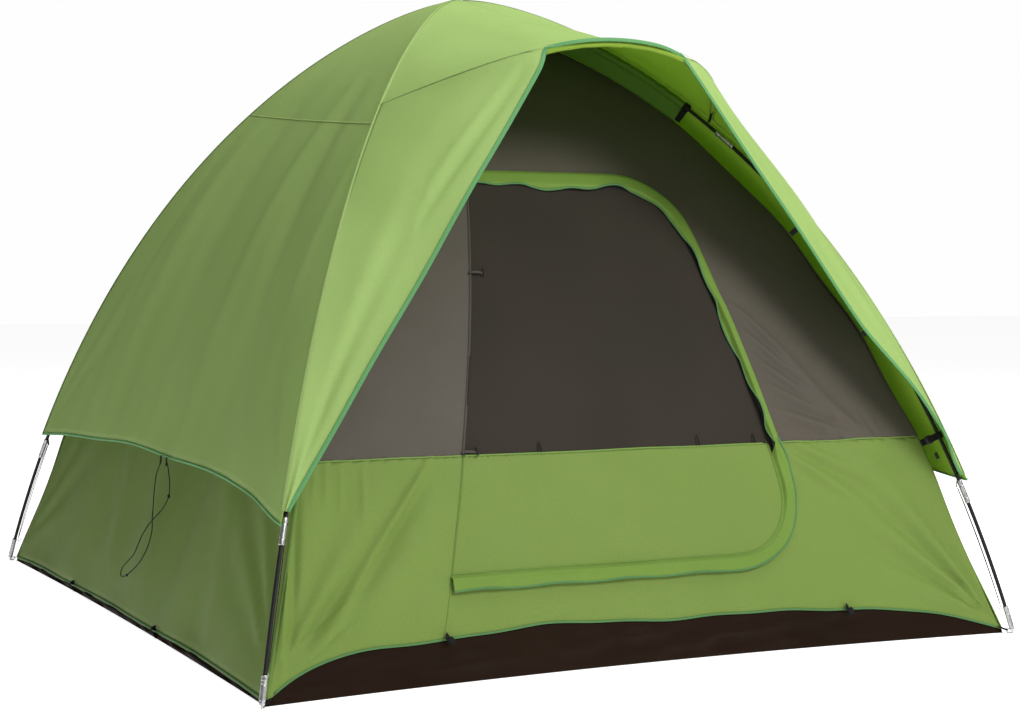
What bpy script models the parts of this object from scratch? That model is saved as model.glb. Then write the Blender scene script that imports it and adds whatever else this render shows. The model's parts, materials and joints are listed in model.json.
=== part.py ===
"""Dome tent on two crossed poles, with a third brow pole that carries a visor over the door.

Frame: metres, +Z up, the door faces -Y, and the origin is on the ground under the crossing of the poles.
Run with: blender --background --python part.py
"""
import math

import bmesh
import bpy
from mathutils import Matrix, Vector

# ---------------------------------------------------------------- driving dimensions (metres)
HALF_WIDTH = 1.150            # centre to a pole's foot, across the door side
HALF_DEPTH = 1.333            # centre to a pole's foot, front to back
POLE_HEIGHT = 1.885           # height of the point where the two main poles cross
POLE_RISE = 2.424             # how steeply a pole leaves the ground, 2 would be a plain parabola
POLE_LEAN = 0.791             # how fast a pole leans in at the foot, as a share of the half span
POLE_BELLY = 1.003            # how fast that lean grows

POLE_DIAMETER = 0.011         # fibreglass rod
FERRULE_DIAMETER = POLE_DIAMETER + 0.004  # crimped steel sleeve at each section's end
FERRULE_LENGTH = 0.070
END_SECTION = 0.470           # the first and last section of a main pole
MAIN_SECTIONS = 9
BROW_DIAMETER = 0.009
BROW_FERRULE_DIAMETER = 0.012
BROW_SECTIONS = 3
TOUCH_GAP = 0.0004            # gap between pieces that touch on the real tent

BROW_FOOT = 0.4875            # where the brow pole leaves a main pole, as a share of the pole's rise
BROW_FORWARD = 0.396          # how far the brow pole's middle stands forward of its ends
BROW_RISE = 0.176             # and how far above them
BROW_PLAY = 0.004             # slack between the brow pole's end and the main pole
VISOR_CORNER = 0.202          # half the width of the visor's free front edge
VISOR_CROWN = 0.025           # how much the fly's roof bulges between the crown and the brow pole
WING_TAB = 0.035              # width of the fly's front wings at their lowest corner

FABRIC = 0.003                # a cloth panel with its seams, as a solid
SEAM_GAP = 0.0008             # between neighbouring panels
CLIP_REACH = 0.060            # pole's centre line to the inner tent's corner
FOOT_PLAY = 0.019             # pole tip to the floor's corner
FLY_PLAY = 0.0053             # between the sleeves and the fly's panels
FLY_HEM = 0.107               # where the fly's corners end, as a share of the pole's rise
FLY_HEM_ARCH = 0.012          # how much higher the hem is between its corners, in the same share
FLY_SAG = 0.012               # the side panels pull in between the poles
CROWN_OPENING = 0.970         # panels end here, just short of the crossing
CROSSING_REACH = 0.17         # the poles bend apart over this share of the rise to pass each other

TUB_RIM = 0.112               # height of the floor's turned-up edge at the middle of a side
TUB_RIM_CORNER = 0.045        # and at the corners
FLOOR_BOW = 0.070             # the floor's sides pull in between the corners
SEAM_HEIGHT = 0.563           # where the lower wall cloth meets the upper

DOOR_BOTTOM = 0.255
DOOR_TOP = 1.295
DOOR_LEFT_BOTTOM = -0.600
DOOR_LEFT_TOP = -0.324
DOOR_RIGHT_BOTTOM = 0.508
DOOR_RIGHT_TOP = 0.311
DOOR_CORNER_RADIUS = 0.185
DOOR_CLEARANCE = 0.002        # slit between the door and its doorway, where the zip runs
FLAP_OUTSIDE = 0.018          # zip flap beyond the door's edge
FLAP_INSIDE = 0.022           # and over the door
FLAP_PLAY = 0.0020            # between the sliders and the flap over them
FLAP_THICKNESS = 0.002
HINGE_STANDOFF = 0.005        # hinge line in front of the most bulging point of the seam

SLIDER_LENGTH = 0.014
SLIDER_WIDTH = 0.010
SLIDER_HEIGHT = 0.003
PULL_LENGTH = 0.020
PULL_WIDTH = 0.005
SLIDER_LIFT = 0.0015          # slider's base above the wall's outer face
SLIDER_INSET = 0.009          # slider's middle to the door's edge
LOWER_SLIDER_START = 0.045    # from the hinge corner along the bottom run
UPPER_SLIDER_START = 0.575    # height of the upper slider when the door is shut
UPPER_SLIDER_TRAVEL = 0.300   # height that it climbs

CLIP_PLACES = (0.235, 0.345)  # clips on each leg, as shares of the pole's rise
CLIP_WIDTH = 0.016
CLIP_WALL = 0.0035
CLIP_PLAY = 0.0016            # the hook is loose on the pole by this much all round
CLIP_TAIL = 0.003             # thickness of the clip's flat tail
SLEEVE_PLAY = 0.002           # round the ferrules
SLEEVE_WALL = 0.0015
SLEEVE_FROM = 0.520
SLEEVE_TO = 0.800

TIP_DIAMETER = POLE_DIAMETER + 0.005
TIP_LENGTH = 0.070
TIP_START = 0.012             # along the pole from the ground
PIN_DIAMETER = 0.005
PIN_DEPTH = 0.034             # how far the corner pin goes up the tip
PIN_PLAY = 0.009              # end of the pin's foot to the floor's corner, where the webbing goes
BUNGEE_DIAMETER = 0.003
BUNGEE_PLAY = 0.014           # pole tip to the cord's centre line
BUNGEE_TOP = 0.100
BUNGEE_FOOT = 0.020
GUY_DIAMETER = 0.003
GUY_SAMPLES = 60

# ---------------------------------------------------------------- sizes that follow
BROW_CLEARANCE = POLE_DIAMETER / 2 + BROW_DIAMETER / 2 + BROW_PLAY
SLEEVE_RADIUS = FERRULE_DIAMETER / 2 + SLEEVE_PLAY + SLEEVE_WALL
FLY_STANDOFF = math.sqrt(2) * (SLEEVE_RADIUS + FLY_PLAY)  # pole's centre line to the fly's crease
FOOT_INSET = TIP_DIAMETER / 2 + FOOT_PLAY                 # pole's centre line to the floor's corner
PIN_FOOT = FOOT_INSET - PIN_PLAY                          # the pin's foot, from the pole's centre line
BUNGEE_STANDOFF = TIP_DIAMETER / 2 + BUNGEE_PLAY

CORNERS = {"front_left": (-1, -1), "front_right": (1, -1), "back_left": (-1, 1), "back_right": (1, 1)}
SIDES = {"front": (0, -1), "back": (0, 1), "left": (-1, 0), "right": (1, 0)}


# ---------------------------------------------------------------- materials
def make_material(name, colour, roughness, metallic=0.0):
    material = bpy.data.materials.new(name)
    material.use_nodes = True
    shader = material.node_tree.nodes["Principled BSDF"]
    shader.inputs["Base Color"].default_value = (*colour, 1.0)
    shader.inputs["Roughness"].default_value = roughness
    shader.inputs["Metallic"].default_value = metallic
    return material


# ---------------------------------------------------------------- the poles' shared curve
def rib(share, out=0.0):
    """Point of a leg's curve, moved out of the tent along the curve's normal.

    Returns the share of the half span that is left, and the height. The share runs from 0 at the foot
    to 1 at the crossing; span and height are cubics of it that end level at the crossing.
    """
    span = math.hypot(HALF_WIDTH, HALF_DEPTH)
    rest = 1 - POLE_LEAN - POLE_BELLY
    left = 1 - POLE_LEAN * share - POLE_BELLY * share**2 - rest * share**3
    slope = -(POLE_LEAN + 2 * POLE_BELLY * share + 3 * rest * share**2) * span
    height = POLE_HEIGHT * (POLE_RISE * share + (3 - 2 * POLE_RISE) * share**2 + (POLE_RISE - 2) * share**3)
    climb = POLE_HEIGHT * (POLE_RISE + 2 * (3 - 2 * POLE_RISE) * share + 3 * (POLE_RISE - 2) * share**2)
    length = math.hypot(slope, climb)
    return left + out * climb / length / span, height - out * slope / length


def rib_point(corner, share, out=0.0):
    """The same point in space, on the leg that stands at a corner."""
    left, height = rib(share, out)
    return Vector((corner[0] * left * HALF_WIDTH, corner[1] * left * HALF_DEPTH, height))


def rib_frame(corner, share, out=0.0):
    """Matrix with X out of the tent, Y across the leg and Z up along the leg."""
    step = 1e-4
    origin = rib_point(corner, share, out)
    along = (rib_point(corner, share + step) - rib_point(corner, share - step)).normalized()
    outward = (rib_point(corner, share, 1.0) - rib_point(corner, share)).normalized()
    across = along.cross(outward)
    rotation = Matrix((outward, across, along)).transposed()
    return Matrix.Translation(origin) @ rotation.to_4x4()


def inner_offset(share):
    """How far inside the pole the inner tent's corner hangs: little at the ground, a clip's reach above."""
    ease = 1 - (1 - min(share / 0.1, 1.0)) ** 2
    return -(FOOT_INSET + (CLIP_REACH - FOOT_INSET) * ease)


def panel_point(side, across, share, out, bow):
    """Point of a four-sided dome panel: straight between its two legs, pulled in by bow at its middle."""
    left, height = rib(share, out)
    half_x = left * HALF_WIDTH
    half_y = left * HALF_DEPTH
    pull = bow * (1 - across**2)
    if side[0] == 0:
        return Vector((across * (half_x - SEAM_GAP), side[1] * (half_y - pull), height))
    return Vector((side[0] * (half_x - pull), across * (half_y - SEAM_GAP), height))


def share_at_height(height, out_of):
    """Share of the rise at which the offset leg reaches a height, by halving."""
    low, high = 0.0, 1.0
    for _ in range(40):
        middle = (low + high) / 2
        if rib(middle, out_of(middle))[1] < height:
            low = middle
        else:
            high = middle
    return (low + high) / 2


def floor_bow(share):
    return FLOOR_BOW * (1 - min(share / 0.06, 1.0)) ** 2


def inner_point(side, across, share):
    return panel_point(side, across, share, inner_offset(share), floor_bow(share))


def rim_share(across):
    """The floor's edge is high along each side and dips into the corners."""
    height = TUB_RIM - (TUB_RIM - TUB_RIM_CORNER) * abs(across) ** 5
    return share_at_height(height, inner_offset)


# ---------------------------------------------------------------- mesh helpers
def add_object(name, mesh, material, origin=(0, 0, 0), parent=None):
    """One named part. Its mesh is given in world space; its origin goes to the given point."""
    mesh.transform(Matrix.Translation(-Vector(origin)))
    mesh.materials.append(material)
    part = bpy.data.objects.new(name, mesh)
    bpy.context.collection.objects.link(part)
    if parent is None:
        part.location = origin
    else:
        part.parent = parent
    return part


def mesh_from(bm, outwards_from=None):
    """Mesh of a bmesh with doubles merged and normals out, or away from a point on an open sheet."""
    bmesh.ops.remove_doubles(bm, verts=bm.verts, dist=1e-6)
    bmesh.ops.recalc_face_normals(bm, faces=bm.faces)
    if outwards_from is not None:
        lean = sum(face.normal.dot(face.calc_center_median() - outwards_from) for face in bm.faces)
        if lean < 0:
            bmesh.ops.reverse_faces(bm, faces=bm.faces)
    mesh = bpy.data.meshes.new("mesh")
    bm.to_mesh(mesh)
    bm.free()
    return mesh


def add_grid(bm, rows):
    """Quads between rows of points."""
    made = [[bm.verts.new(point) for point in row] for row in rows]
    for low, high in zip(made, made[1:]):
        for column in range(len(low) - 1):
            bm.faces.new((low[column], low[column + 1], high[column + 1], high[column]))


def thicken(part, thickness, direction):
    """Gives a sheet its thickness: direction 1 outwards, -1 inwards."""
    solid = part.modifiers.new("thickness", "SOLIDIFY")
    solid.thickness = thickness
    solid.offset = direction
    solid.use_even_offset = False


def sweep(name, points, radii, sides, material, up=Vector((0, 0, 1)), directions=None):
    """Round rod through points, with a radius at each, closed at both ends."""
    bm = bmesh.new()
    rings = []
    for index, point in enumerate(points):
        before = points[max(index - 1, 0)]
        after = points[min(index + 1, len(points) - 1)]
        along = directions[index] if directions else (after - before).normalized()
        first = along.cross(up).normalized()
        second = along.cross(first)
        turns = [2 * math.pi * side / sides for side in range(sides)]
        rings.append([bm.verts.new(point + radii[index] * (math.cos(a) * first + math.sin(a) * second))
                      for a in turns])
    for low, high in zip(rings, rings[1:]):
        for side in range(sides):
            after = (side + 1) % sides
            bm.faces.new((low[side], low[after], high[after], high[side]))
    bm.faces.new(rings[0])
    bm.faces.new(rings[-1])
    return add_object(name, mesh_from(bm), material)


def prism(name, outline, thickness, frame, material, origin=(0, 0, 0), parent=None):
    """Flat outline in a frame's XY plane, given a thickness along the frame's Z, centred on the plane."""
    bm = bmesh.new()
    face = bm.faces.new([bm.verts.new((x, y, -thickness / 2)) for x, y in outline])
    raised = bmesh.ops.extrude_face_region(bm, geom=[face])
    moved = [item for item in raised["geom"] if isinstance(item, bmesh.types.BMVert)]
    bmesh.ops.translate(bm, verts=moved, vec=(0, 0, thickness))
    bmesh.ops.transform(bm, matrix=frame, verts=bm.verts)
    return add_object(name, mesh_from(bm), material, origin, parent)


def arc(centre, radius, start, end, steps):
    """Points of an arc in a plane, angles in degrees."""
    turns = [math.radians(start + (end - start) * step / steps) for step in range(steps + 1)]
    return [(centre[0] + radius * math.cos(a), centre[1] + radius * math.sin(a)) for a in turns]


# ---------------------------------------------------------------- poles
def leg_run(pole, steps=400):
    """Points along a whole main pole, from its left foot over the crossing to its right foot."""
    start = CORNERS["front_left"] if pole == "a" else CORNERS["back_left"]
    lift = (-0.5 if pole == "a" else 0.5) * (POLE_DIAMETER + TOUCH_GAP)
    points = []
    for step in range(steps + 1):
        travel = 2 * step / steps
        corner = start if travel <= 1 else (-start[0], -start[1])
        share = travel if travel <= 1 else 2 - travel
        point = rib_point(corner, share)
        point.z += lift * max(0.0, 1 - ((1 - share) / CROSSING_REACH) ** 2)
        points.append(point)
    return points


def lengths_along(points):
    total = [0.0]
    for before, after in zip(points, points[1:]):
        total.append(total[-1] + (after - before).length)
    return total


def point_at(points, lengths, distance):
    for index in range(1, len(points)):
        if lengths[index] >= distance:
            part = (distance - lengths[index - 1]) / (lengths[index] - lengths[index - 1])
            return points[index - 1].lerp(points[index], part)
    return points[-1]


def add_section(name, points, lengths, start, end, radius, ferrule_radius, ferrule, stations, material):
    """One pole section; ferrule is 1 for a sleeve at its far end, -1 at its near end, 0 for none."""
    marks = [start + (end - start) * step / stations for step in range(stations + 1)]
    radii = [radius] * len(marks)
    if ferrule:
        edge = end - FERRULE_LENGTH if ferrule > 0 else start + FERRULE_LENGTH
        keep = [mark for mark in marks if (mark < edge - 0.01 if ferrule > 0 else mark > edge + 0.01)]
        if ferrule > 0:
            marks = keep + [edge, edge + 0.001, end]
            radii = [radius] * (len(keep) + 1) + [ferrule_radius] * 2
        else:
            marks = [start, edge - 0.001, edge] + keep
            radii = [ferrule_radius] * 2 + [radius] * (len(keep) + 1)
    path = [point_at(points, lengths, mark) for mark in marks]
    reach = 0.02
    directions = [(point_at(points, lengths, mark + reach)
                   - point_at(points, lengths, max(mark - reach, 0.0))).normalized() for mark in marks]
    return sweep(name, path, radii, 8, material, directions=directions)


def add_main_pole(pole, material):
    """Nine sections: a short one at each foot, seven equal ones between, sleeves towards the middle one."""
    points = leg_run(pole)
    lengths = lengths_along(points)
    foot = TIP_START + TIP_LENGTH + TOUCH_GAP
    middle = (lengths[-1] - 2 * END_SECTION) / (MAIN_SECTIONS - 2)
    ends = [foot] + [END_SECTION + middle * step for step in range(MAIN_SECTIONS - 1)] + [lengths[-1] - foot]
    centre = MAIN_SECTIONS // 2
    for index in range(MAIN_SECTIONS):
        ferrule = 1 if index < centre else (-1 if index > centre else 0)
        start = ends[index] + (TOUCH_GAP if index else 0)
        add_section(f"main_pole_{pole}_section_{index + 1}", points, lengths, start, ends[index + 1],
                    POLE_DIAMETER / 2, FERRULE_DIAMETER / 2, ferrule, 6, material)


def brow_point(across, foot, forward, rise):
    """The brow pole's arch: across runs from -1 to 1; its plan is a cubic, its rise a parabola."""
    return Vector((across * foot.x,
                   foot.y - forward * (1 - abs(across) ** 3),
                   foot.z + rise * (1 - across**2)))


def add_brow_pole(material):
    foot = rib_point((1, -1), BROW_FOOT)
    shorten = 1 - BROW_CLEARANCE / abs(foot.x)
    steps = 200
    points = [brow_point(shorten * (2 * step / steps - 1), foot, BROW_FORWARD, BROW_RISE)
              for step in range(steps + 1)]
    lengths = lengths_along(points)
    part = lengths[-1] / BROW_SECTIONS
    for index in range(BROW_SECTIONS):
        ferrule = (1, 0, -1)[index]
        start = index * part + (TOUCH_GAP if index else 0)
        add_section(f"brow_pole_section_{index + 1}", points, lengths, start, (index + 1) * part,
                    BROW_DIAMETER / 2, BROW_FERRULE_DIAMETER / 2, ferrule, 6, material)


def add_pole_foot(name, corner, tip_material, pin_material):
    """Hollow steel tip on the pole's end, and the bent pin that holds it at the floor's corner."""
    frame = rib_frame(corner, 0.0)
    wall = PIN_DIAMETER / 2 + TOUCH_GAP
    outer = TIP_DIAMETER / 2
    bore_end = TIP_START + PIN_DEPTH
    profile = [(wall, TIP_START), (outer - 0.002, TIP_START), (outer, TIP_START + 0.004),
               (outer, TIP_START + TIP_LENGTH), (0.0, TIP_START + TIP_LENGTH), (0.0, bore_end), (wall, bore_end)]
    bm = bmesh.new()
    verts = [bm.verts.new((radius, 0, height)) for radius, height in profile]
    edges = [bm.edges.new((a, b)) for a, b in zip(verts, verts[1:] + verts[:1])]
    bmesh.ops.spin(bm, geom=verts + edges, cent=(0, 0, 0), axis=(0, 0, 1), angle=2 * math.pi, steps=10,
                   use_merge=True)
    bmesh.ops.remove_doubles(bm, verts=bm.verts, dist=1e-5)
    bmesh.ops.dissolve_degenerate(bm, dist=1e-5, edges=bm.edges)
    bmesh.ops.transform(bm, matrix=frame, verts=bm.verts)
    add_object(f"pole_tip_{name}", mesh_from(bm), tip_material)

    up = frame.to_3x3() @ Vector((0, 0, 1))
    foot = frame.translation
    elbow_height = PIN_DIAMETER / 2 + 0.001
    elbow = foot + up * (elbow_height / up.z)
    inward = Vector((-corner[0] * HALF_WIDTH, -corner[1] * HALF_DEPTH, 0)).normalized()
    path = [elbow + up * (PIN_DEPTH + TIP_START - 0.008), elbow + up * 0.004,
            elbow + inward * 0.004, elbow + inward * PIN_FOOT]
    sweep(f"corner_pin_{name}", path, [PIN_DIAMETER / 2] * 4, 8, pin_material, up=up.cross(inward))


# ---------------------------------------------------------------- inner tent
def add_inner_panel(name, side, material):
    """One wall, from the floor's edge to the crown."""
    columns, rows = 12, 11
    grid = []
    for row in range(rows + 1):
        line = []
        for column in range(columns + 1):
            across = 2 * column / columns - 1
            start = share_at_height(rib(rim_share(across), inner_offset(rim_share(across)))[1] + TOUCH_GAP,
                                    inner_offset)
            share = start + (CROWN_OPENING - start) * row / rows
            line.append(inner_point(side, across, share))
        grid.append(line)
    bm = bmesh.new()
    add_grid(bm, grid)
    part = add_object(name, mesh_from(bm, Vector((0, 0, 0.6))), material)
    thicken(part, FABRIC, 1)
    return part


def add_floor_tub(material):
    """Flat groundsheet whose edges turn up into the walls."""
    steps = 10
    bottom, rim = [], []
    for side, turn in (("front", 1), ("right", 1), ("back", -1), ("left", -1)):
        for step in range(steps):
            across = turn * (2 * step / steps - 1)
            foot = inner_point(SIDES[side], across, 0.0)
            bottom.append(Vector((foot.x, foot.y, 0.0)))
            rim.append(inner_point(SIDES[side], across, rim_share(across)))
    bm = bmesh.new()
    low = [bm.verts.new(point) for point in bottom]
    high = [bm.verts.new(point) for point in rim]
    bm.faces.new(low)
    count = len(low)
    for index in range(count):
        after = (index + 1) % count
        bm.faces.new((low[index], low[after], high[after], high[index]))
    part = add_object("floor_tub", mesh_from(bm, Vector((0, 0, 0.05))), material)
    thicken(part, FABRIC, -1)
    part.modifiers["thickness"].use_even_offset = True
    return part


# ---------------------------------------------------------------- door
def grown_quad(grow):
    """The door's four straight sides moved outwards, as corners in X and Z, from bottom left, anticlockwise."""
    corners = [Vector((DOOR_LEFT_BOTTOM, DOOR_BOTTOM)), Vector((DOOR_RIGHT_BOTTOM, DOOR_BOTTOM)),
               Vector((DOOR_RIGHT_TOP, DOOR_TOP)), Vector((DOOR_LEFT_TOP, DOOR_TOP))]
    moved = []
    for index, corner in enumerate(corners):
        before = (corner - corners[index - 1]).normalized()
        after = (corners[(index + 1) % 4] - corner).normalized()
        normal_before = Vector((before.y, -before.x))
        normal_after = Vector((after.y, -after.x))
        bisector = normal_before + normal_after
        moved.append(corner + bisector * (grow * 2 / bisector.length_squared))
    return moved


def rounded(before, corner, after, radius, steps=6):
    """Arc that rounds a corner between two straight sides."""
    towards = (before - corner).normalized()
    away = (after - corner).normalized()
    half = towards.angle(away) / 2
    reach = radius / math.tan(half)
    start = corner + towards * reach
    end = corner + away * reach
    centre = corner + (towards + away).normalized() * (radius / math.sin(half))
    first, last = start - centre, end - centre
    points = []
    for step in range(steps + 1):
        blend = step / steps
        angle = first.angle(last)
        weight = (math.sin((1 - blend) * angle), math.sin(blend * angle))
        points.append(centre + (first * weight[0] + last * weight[1]) / math.sin(angle))
    return points


def door_outline(grow):
    """D-shaped outline, straight at the hinge seam and rounded on the zip's side."""
    low_left, low_right, high_right, high_left = grown_quad(grow)
    radius = DOOR_CORNER_RADIUS + grow
    return ([low_left] + rounded(low_left, low_right, high_right, radius)
            + rounded(low_right, high_right, high_left, radius) + [high_left])


def cut_at_seam(outline, above):
    """Part of the outline above or below the seam between the lower and upper cloth."""
    level = SEAM_HEIGHT + (TOUCH_GAP / 2 if above else -TOUCH_GAP / 2)
    kept = []
    for index, point in enumerate(outline):
        before = outline[index - 1]
        inside, was_inside = [(q.y > level) == above for q in (point, before)]
        if inside != was_inside:
            part = (level - before.y) / (point.y - before.y)
            kept.append(before.lerp(point, part))
        if inside:
            kept.append(point)
    return kept


def cutter(name, outline):
    """Upright prism through the front wall, used only to cut."""
    bm = bmesh.new()
    face = bm.faces.new([bm.verts.new((point.x, -HALF_DEPTH * 1.2, point.y)) for point in outline])
    raised = bmesh.ops.extrude_face_region(bm, geom=[face])
    moved = [item for item in raised["geom"] if isinstance(item, bmesh.types.BMVert)]
    bmesh.ops.translate(bm, verts=moved, vec=(0, HALF_DEPTH * 0.95, 0))
    tool = add_object(name, mesh_from(bm), bpy.data.materials["wall_cloth"])
    tool.hide_render = True
    tool.display_type = "WIRE"
    return tool


def cut(part, tool, operation):
    boolean = part.modifiers.new(operation.lower(), "BOOLEAN")
    boolean.object = tool
    boolean.operation = operation
    boolean.solver = "EXACT"


def wall_point(x, height):
    """Point of the front wall's inner face."""
    share = share_at_height(height, inner_offset)
    left, level = rib(share, inner_offset(share))
    return Vector((x, -left * HALF_DEPTH, level))


def wall_normal(height):
    step = 0.002
    climb = (wall_point(0, height + step) - wall_point(0, height - step)).normalized()
    return climb.cross(Vector((-1, 0, 0))).normalized()


def wall_patch(lift):
    """Sheet that follows the front wall over the doorway, moved forward by lift."""
    columns, rows = 6, 10
    margin = 0.05
    low, high = DOOR_BOTTOM - margin, DOOR_TOP + margin
    left, right = DOOR_LEFT_BOTTOM - margin, DOOR_RIGHT_BOTTOM + margin
    grid = []
    for row in range(rows + 1):
        height = low + (high - low) * row / rows
        grid.append([wall_point(left + (right - left) * column / columns, height) + Vector((0, -lift, 0))
                     for column in range(columns + 1)])
    bm = bmesh.new()
    add_grid(bm, grid)
    return mesh_from(bm, Vector((0, 0, 0.6)))


def upper_slider_run():
    """Start, direction and normal of the upper slider's straight run, and how far the wall bulges into it."""
    def edge(height):
        part = (height - DOOR_BOTTOM) / (DOOR_TOP - DOOR_BOTTOM)
        x = DOOR_RIGHT_BOTTOM + (DOOR_RIGHT_TOP - DOOR_RIGHT_BOTTOM) * part
        return wall_point(x + SLIDER_INSET, height)

    place = edge(UPPER_SLIDER_START)
    towards = (edge(UPPER_SLIDER_START + UPPER_SLIDER_TRAVEL) - place).normalized()
    normal = wall_normal(UPPER_SLIDER_START + UPPER_SLIDER_TRAVEL / 2)
    normal = (normal - towards * normal.dot(towards)).normalized()
    bulge = max((edge(UPPER_SLIDER_START + UPPER_SLIDER_TRAVEL * step / 10) - place).dot(normal)
                for step in range(11))
    return place, towards, normal, bulge


def flap_lift():
    """How far forward of the wall's inner face the flap's inner face stands, to clear both sliders."""
    bulge = upper_slider_run()[3]
    flattest = wall_normal(UPPER_SLIDER_START + UPPER_SLIDER_TRAVEL + PULL_LENGTH)
    return (FABRIC + SLIDER_LIFT + bulge + SLIDER_HEIGHT + FLAP_PLAY) / -flattest.y


def hinge_line():
    """Straight line just in front of the curved hinge seam: a point on it and its direction, upwards."""
    low = wall_point(DOOR_LEFT_BOTTOM, DOOR_BOTTOM)
    high = wall_point(DOOR_LEFT_TOP, DOOR_TOP)
    along = (high - low).normalized()
    forward = (along.cross(Vector((-1, 0, 0)))).normalized()
    bulge = 0.0
    for step in range(21):
        part = step / 20
        height = DOOR_BOTTOM + (DOOR_TOP - DOOR_BOTTOM) * part
        seam = wall_point(DOOR_LEFT_BOTTOM + (DOOR_LEFT_TOP - DOOR_LEFT_BOTTOM) * part, height)
        bulge = max(bulge, (seam - low).dot(forward))
    return low + forward * (bulge + FABRIC + HINGE_STANDOFF), along


def add_door(materials):
    """Door of lower cloth and window mesh with its zip flap, on a parent at the hinge line."""
    anchor, along = hinge_line()
    hinge = bpy.data.objects.new("door_hinge_line", None)
    hinge.location = anchor
    bpy.context.collection.objects.link(hinge)
    outline = door_outline(0.0)
    for name, above, material in (("door_lower_panel", False, "wall_cloth"),
                                  ("door_window_mesh", True, "window_mesh")):
        part = add_object(name, wall_patch(0.0), materials[material], anchor, hinge)
        thicken(part, FABRIC, 1)
        cut(part, cutter(f"{name}_cutter", cut_at_seam(outline, above)), "INTERSECT")
    outer = door_outline(FLAP_OUTSIDE)
    inner = door_outline(-FLAP_INSIDE)
    band = outer + inner[::-1]
    flap = add_object("door_zip_flap", wall_patch(flap_lift()), materials["wall_cloth"], anchor, hinge)
    thicken(flap, FLAP_THICKNESS, 1)
    cut(flap, cutter("door_zip_flap_cutter", band), "INTERSECT")
    return anchor, along


def add_slider(name, place, towards, normal, lift, material):
    """Zip slider with its pull, lying beside the door's edge with lift under it."""
    across = normal.cross(towards).normalized()
    frame = Matrix((towards, across, normal)).transposed().to_4x4()
    centre = place + normal * (FABRIC + lift + SLIDER_HEIGHT / 2)
    half, wide, pull = SLIDER_LENGTH / 2, SLIDER_WIDTH / 2, PULL_WIDTH / 2
    outline = ([(-half, -wide * 0.6), (half - 0.003, -wide), (half, -pull)]
               + arc((half + PULL_LENGTH, 0), pull, -90, 90, 4)
               + [(half, pull), (half - 0.003, wide), (-half, wide * 0.6)])
    return prism(name, outline, SLIDER_HEIGHT, Matrix.Translation(centre) @ frame, material, centre)


def add_sliders(material):
    """One slider on the straight bottom run, one on the straight stretch above the seam."""
    place = wall_point(DOOR_LEFT_BOTTOM + LOWER_SLIDER_START, DOOR_BOTTOM - SLIDER_INSET)
    add_slider("zip_slider_lower", place, Vector((1, 0, 0)), wall_normal(place.z), SLIDER_LIFT, material)

    place, towards, normal, bulge = upper_slider_run()
    add_slider("zip_slider_upper", place, towards, normal, SLIDER_LIFT + bulge, material)


# ---------------------------------------------------------------- clips and sleeves
def add_clip(name, corner, share, material):
    """Hook that snaps round the pole, with a flat tail to the inner tent's corner seam."""
    inside = POLE_DIAMETER / 2 + CLIP_PLAY
    outside = inside + CLIP_WALL
    half_tail = CLIP_TAIL / 2
    tail = CLIP_REACH - 0.006
    outline = ([(-tail, -half_tail), (-outside * 0.95, -half_tail)]
               + arc((0, 0), outside, -150, 55, 8) + arc((0, 0), inside, 55, -110, 7)
               + arc((0, 0), inside, -130, -180, 2)
               + [(-inside, half_tail), (-tail, half_tail)])
    frame = rib_frame(corner, share)
    return prism(name, outline, CLIP_WIDTH, frame, material)


def add_sleeve(name, corner, material):
    """Cloth sleeve round the pole's upper run, with the web that joins it to the inner tent."""
    stations = 6
    inside = SLEEVE_RADIUS - SLEEVE_WALL
    web = SLEEVE_WALL * 0.7
    web_end = CLIP_REACH - 0.004
    ring = [math.radians(angle) for angle in (-160, -110, -55, 0, 55, 110, 160)]
    outer = [(-web_end, -web)] + [(SLEEVE_RADIUS * math.cos(a), SLEEVE_RADIUS * math.sin(a)) for a in ring]
    outer.append((-web_end, web))
    angles = [math.radians(-172)] + ring + [math.radians(172)]
    inner = [(inside * math.cos(a), inside * math.sin(a)) for a in angles]
    bm = bmesh.new()
    rings = []
    for station in range(stations + 1):
        share = SLEEVE_FROM + (SLEEVE_TO - SLEEVE_FROM) * station / stations
        frame = rib_frame(corner, share)
        rings.append([[bm.verts.new(frame @ Vector((x, y, 0))) for x, y in loop] for loop in (outer, inner)])
    count = len(outer)
    for low, high in zip(rings, rings[1:]):
        for loop in (0, 1):
            for index in range(count):
                after = (index + 1) % count
                bm.faces.new((low[loop][index], low[loop][after], high[loop][after], high[loop][index]))
    for ends in (rings[0], rings[-1]):
        for index in range(count):
            after = (index + 1) % count
            bm.faces.new((ends[0][index], ends[0][after], ends[1][after], ends[1][index]))
    return add_object(name, mesh_from(bm), material)


# ---------------------------------------------------------------- rain fly
def add_fly_panel(name, side, material):
    """Side or back panel of the fly, with an arched hem."""
    columns, rows = 10, 10
    grid = []
    for row in range(rows + 1):
        line = []
        for column in range(columns + 1):
            across = 2 * column / columns - 1
            hem = FLY_HEM + FLY_HEM_ARCH * (1 - across**2)
            share = hem + (CROWN_OPENING - hem) * row / rows
            line.append(panel_point(side, across, share, FLY_STANDOFF, FLY_SAG * (1 - share)))
        grid.append(line)
    bm = bmesh.new()
    add_grid(bm, grid)
    part = add_object(name, mesh_from(bm, Vector((0, 0, 0.6))), material)
    thicken(part, FABRIC, 1)
    return part


def fly_brow_point(across):
    """The fly's edge over the brow pole, from crease to crease."""
    foot = rib_point((1, -1), BROW_FOOT, FLY_STANDOFF)
    bare = rib_point((1, -1), BROW_FOOT)
    margin = BROW_FERRULE_DIAMETER / 2 + FLY_PLAY
    forward = BROW_FORWARD + foot.y - bare.y + margin
    rise = BROW_RISE + bare.z - foot.z + margin
    return brow_point(across, foot, forward, rise)


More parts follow.
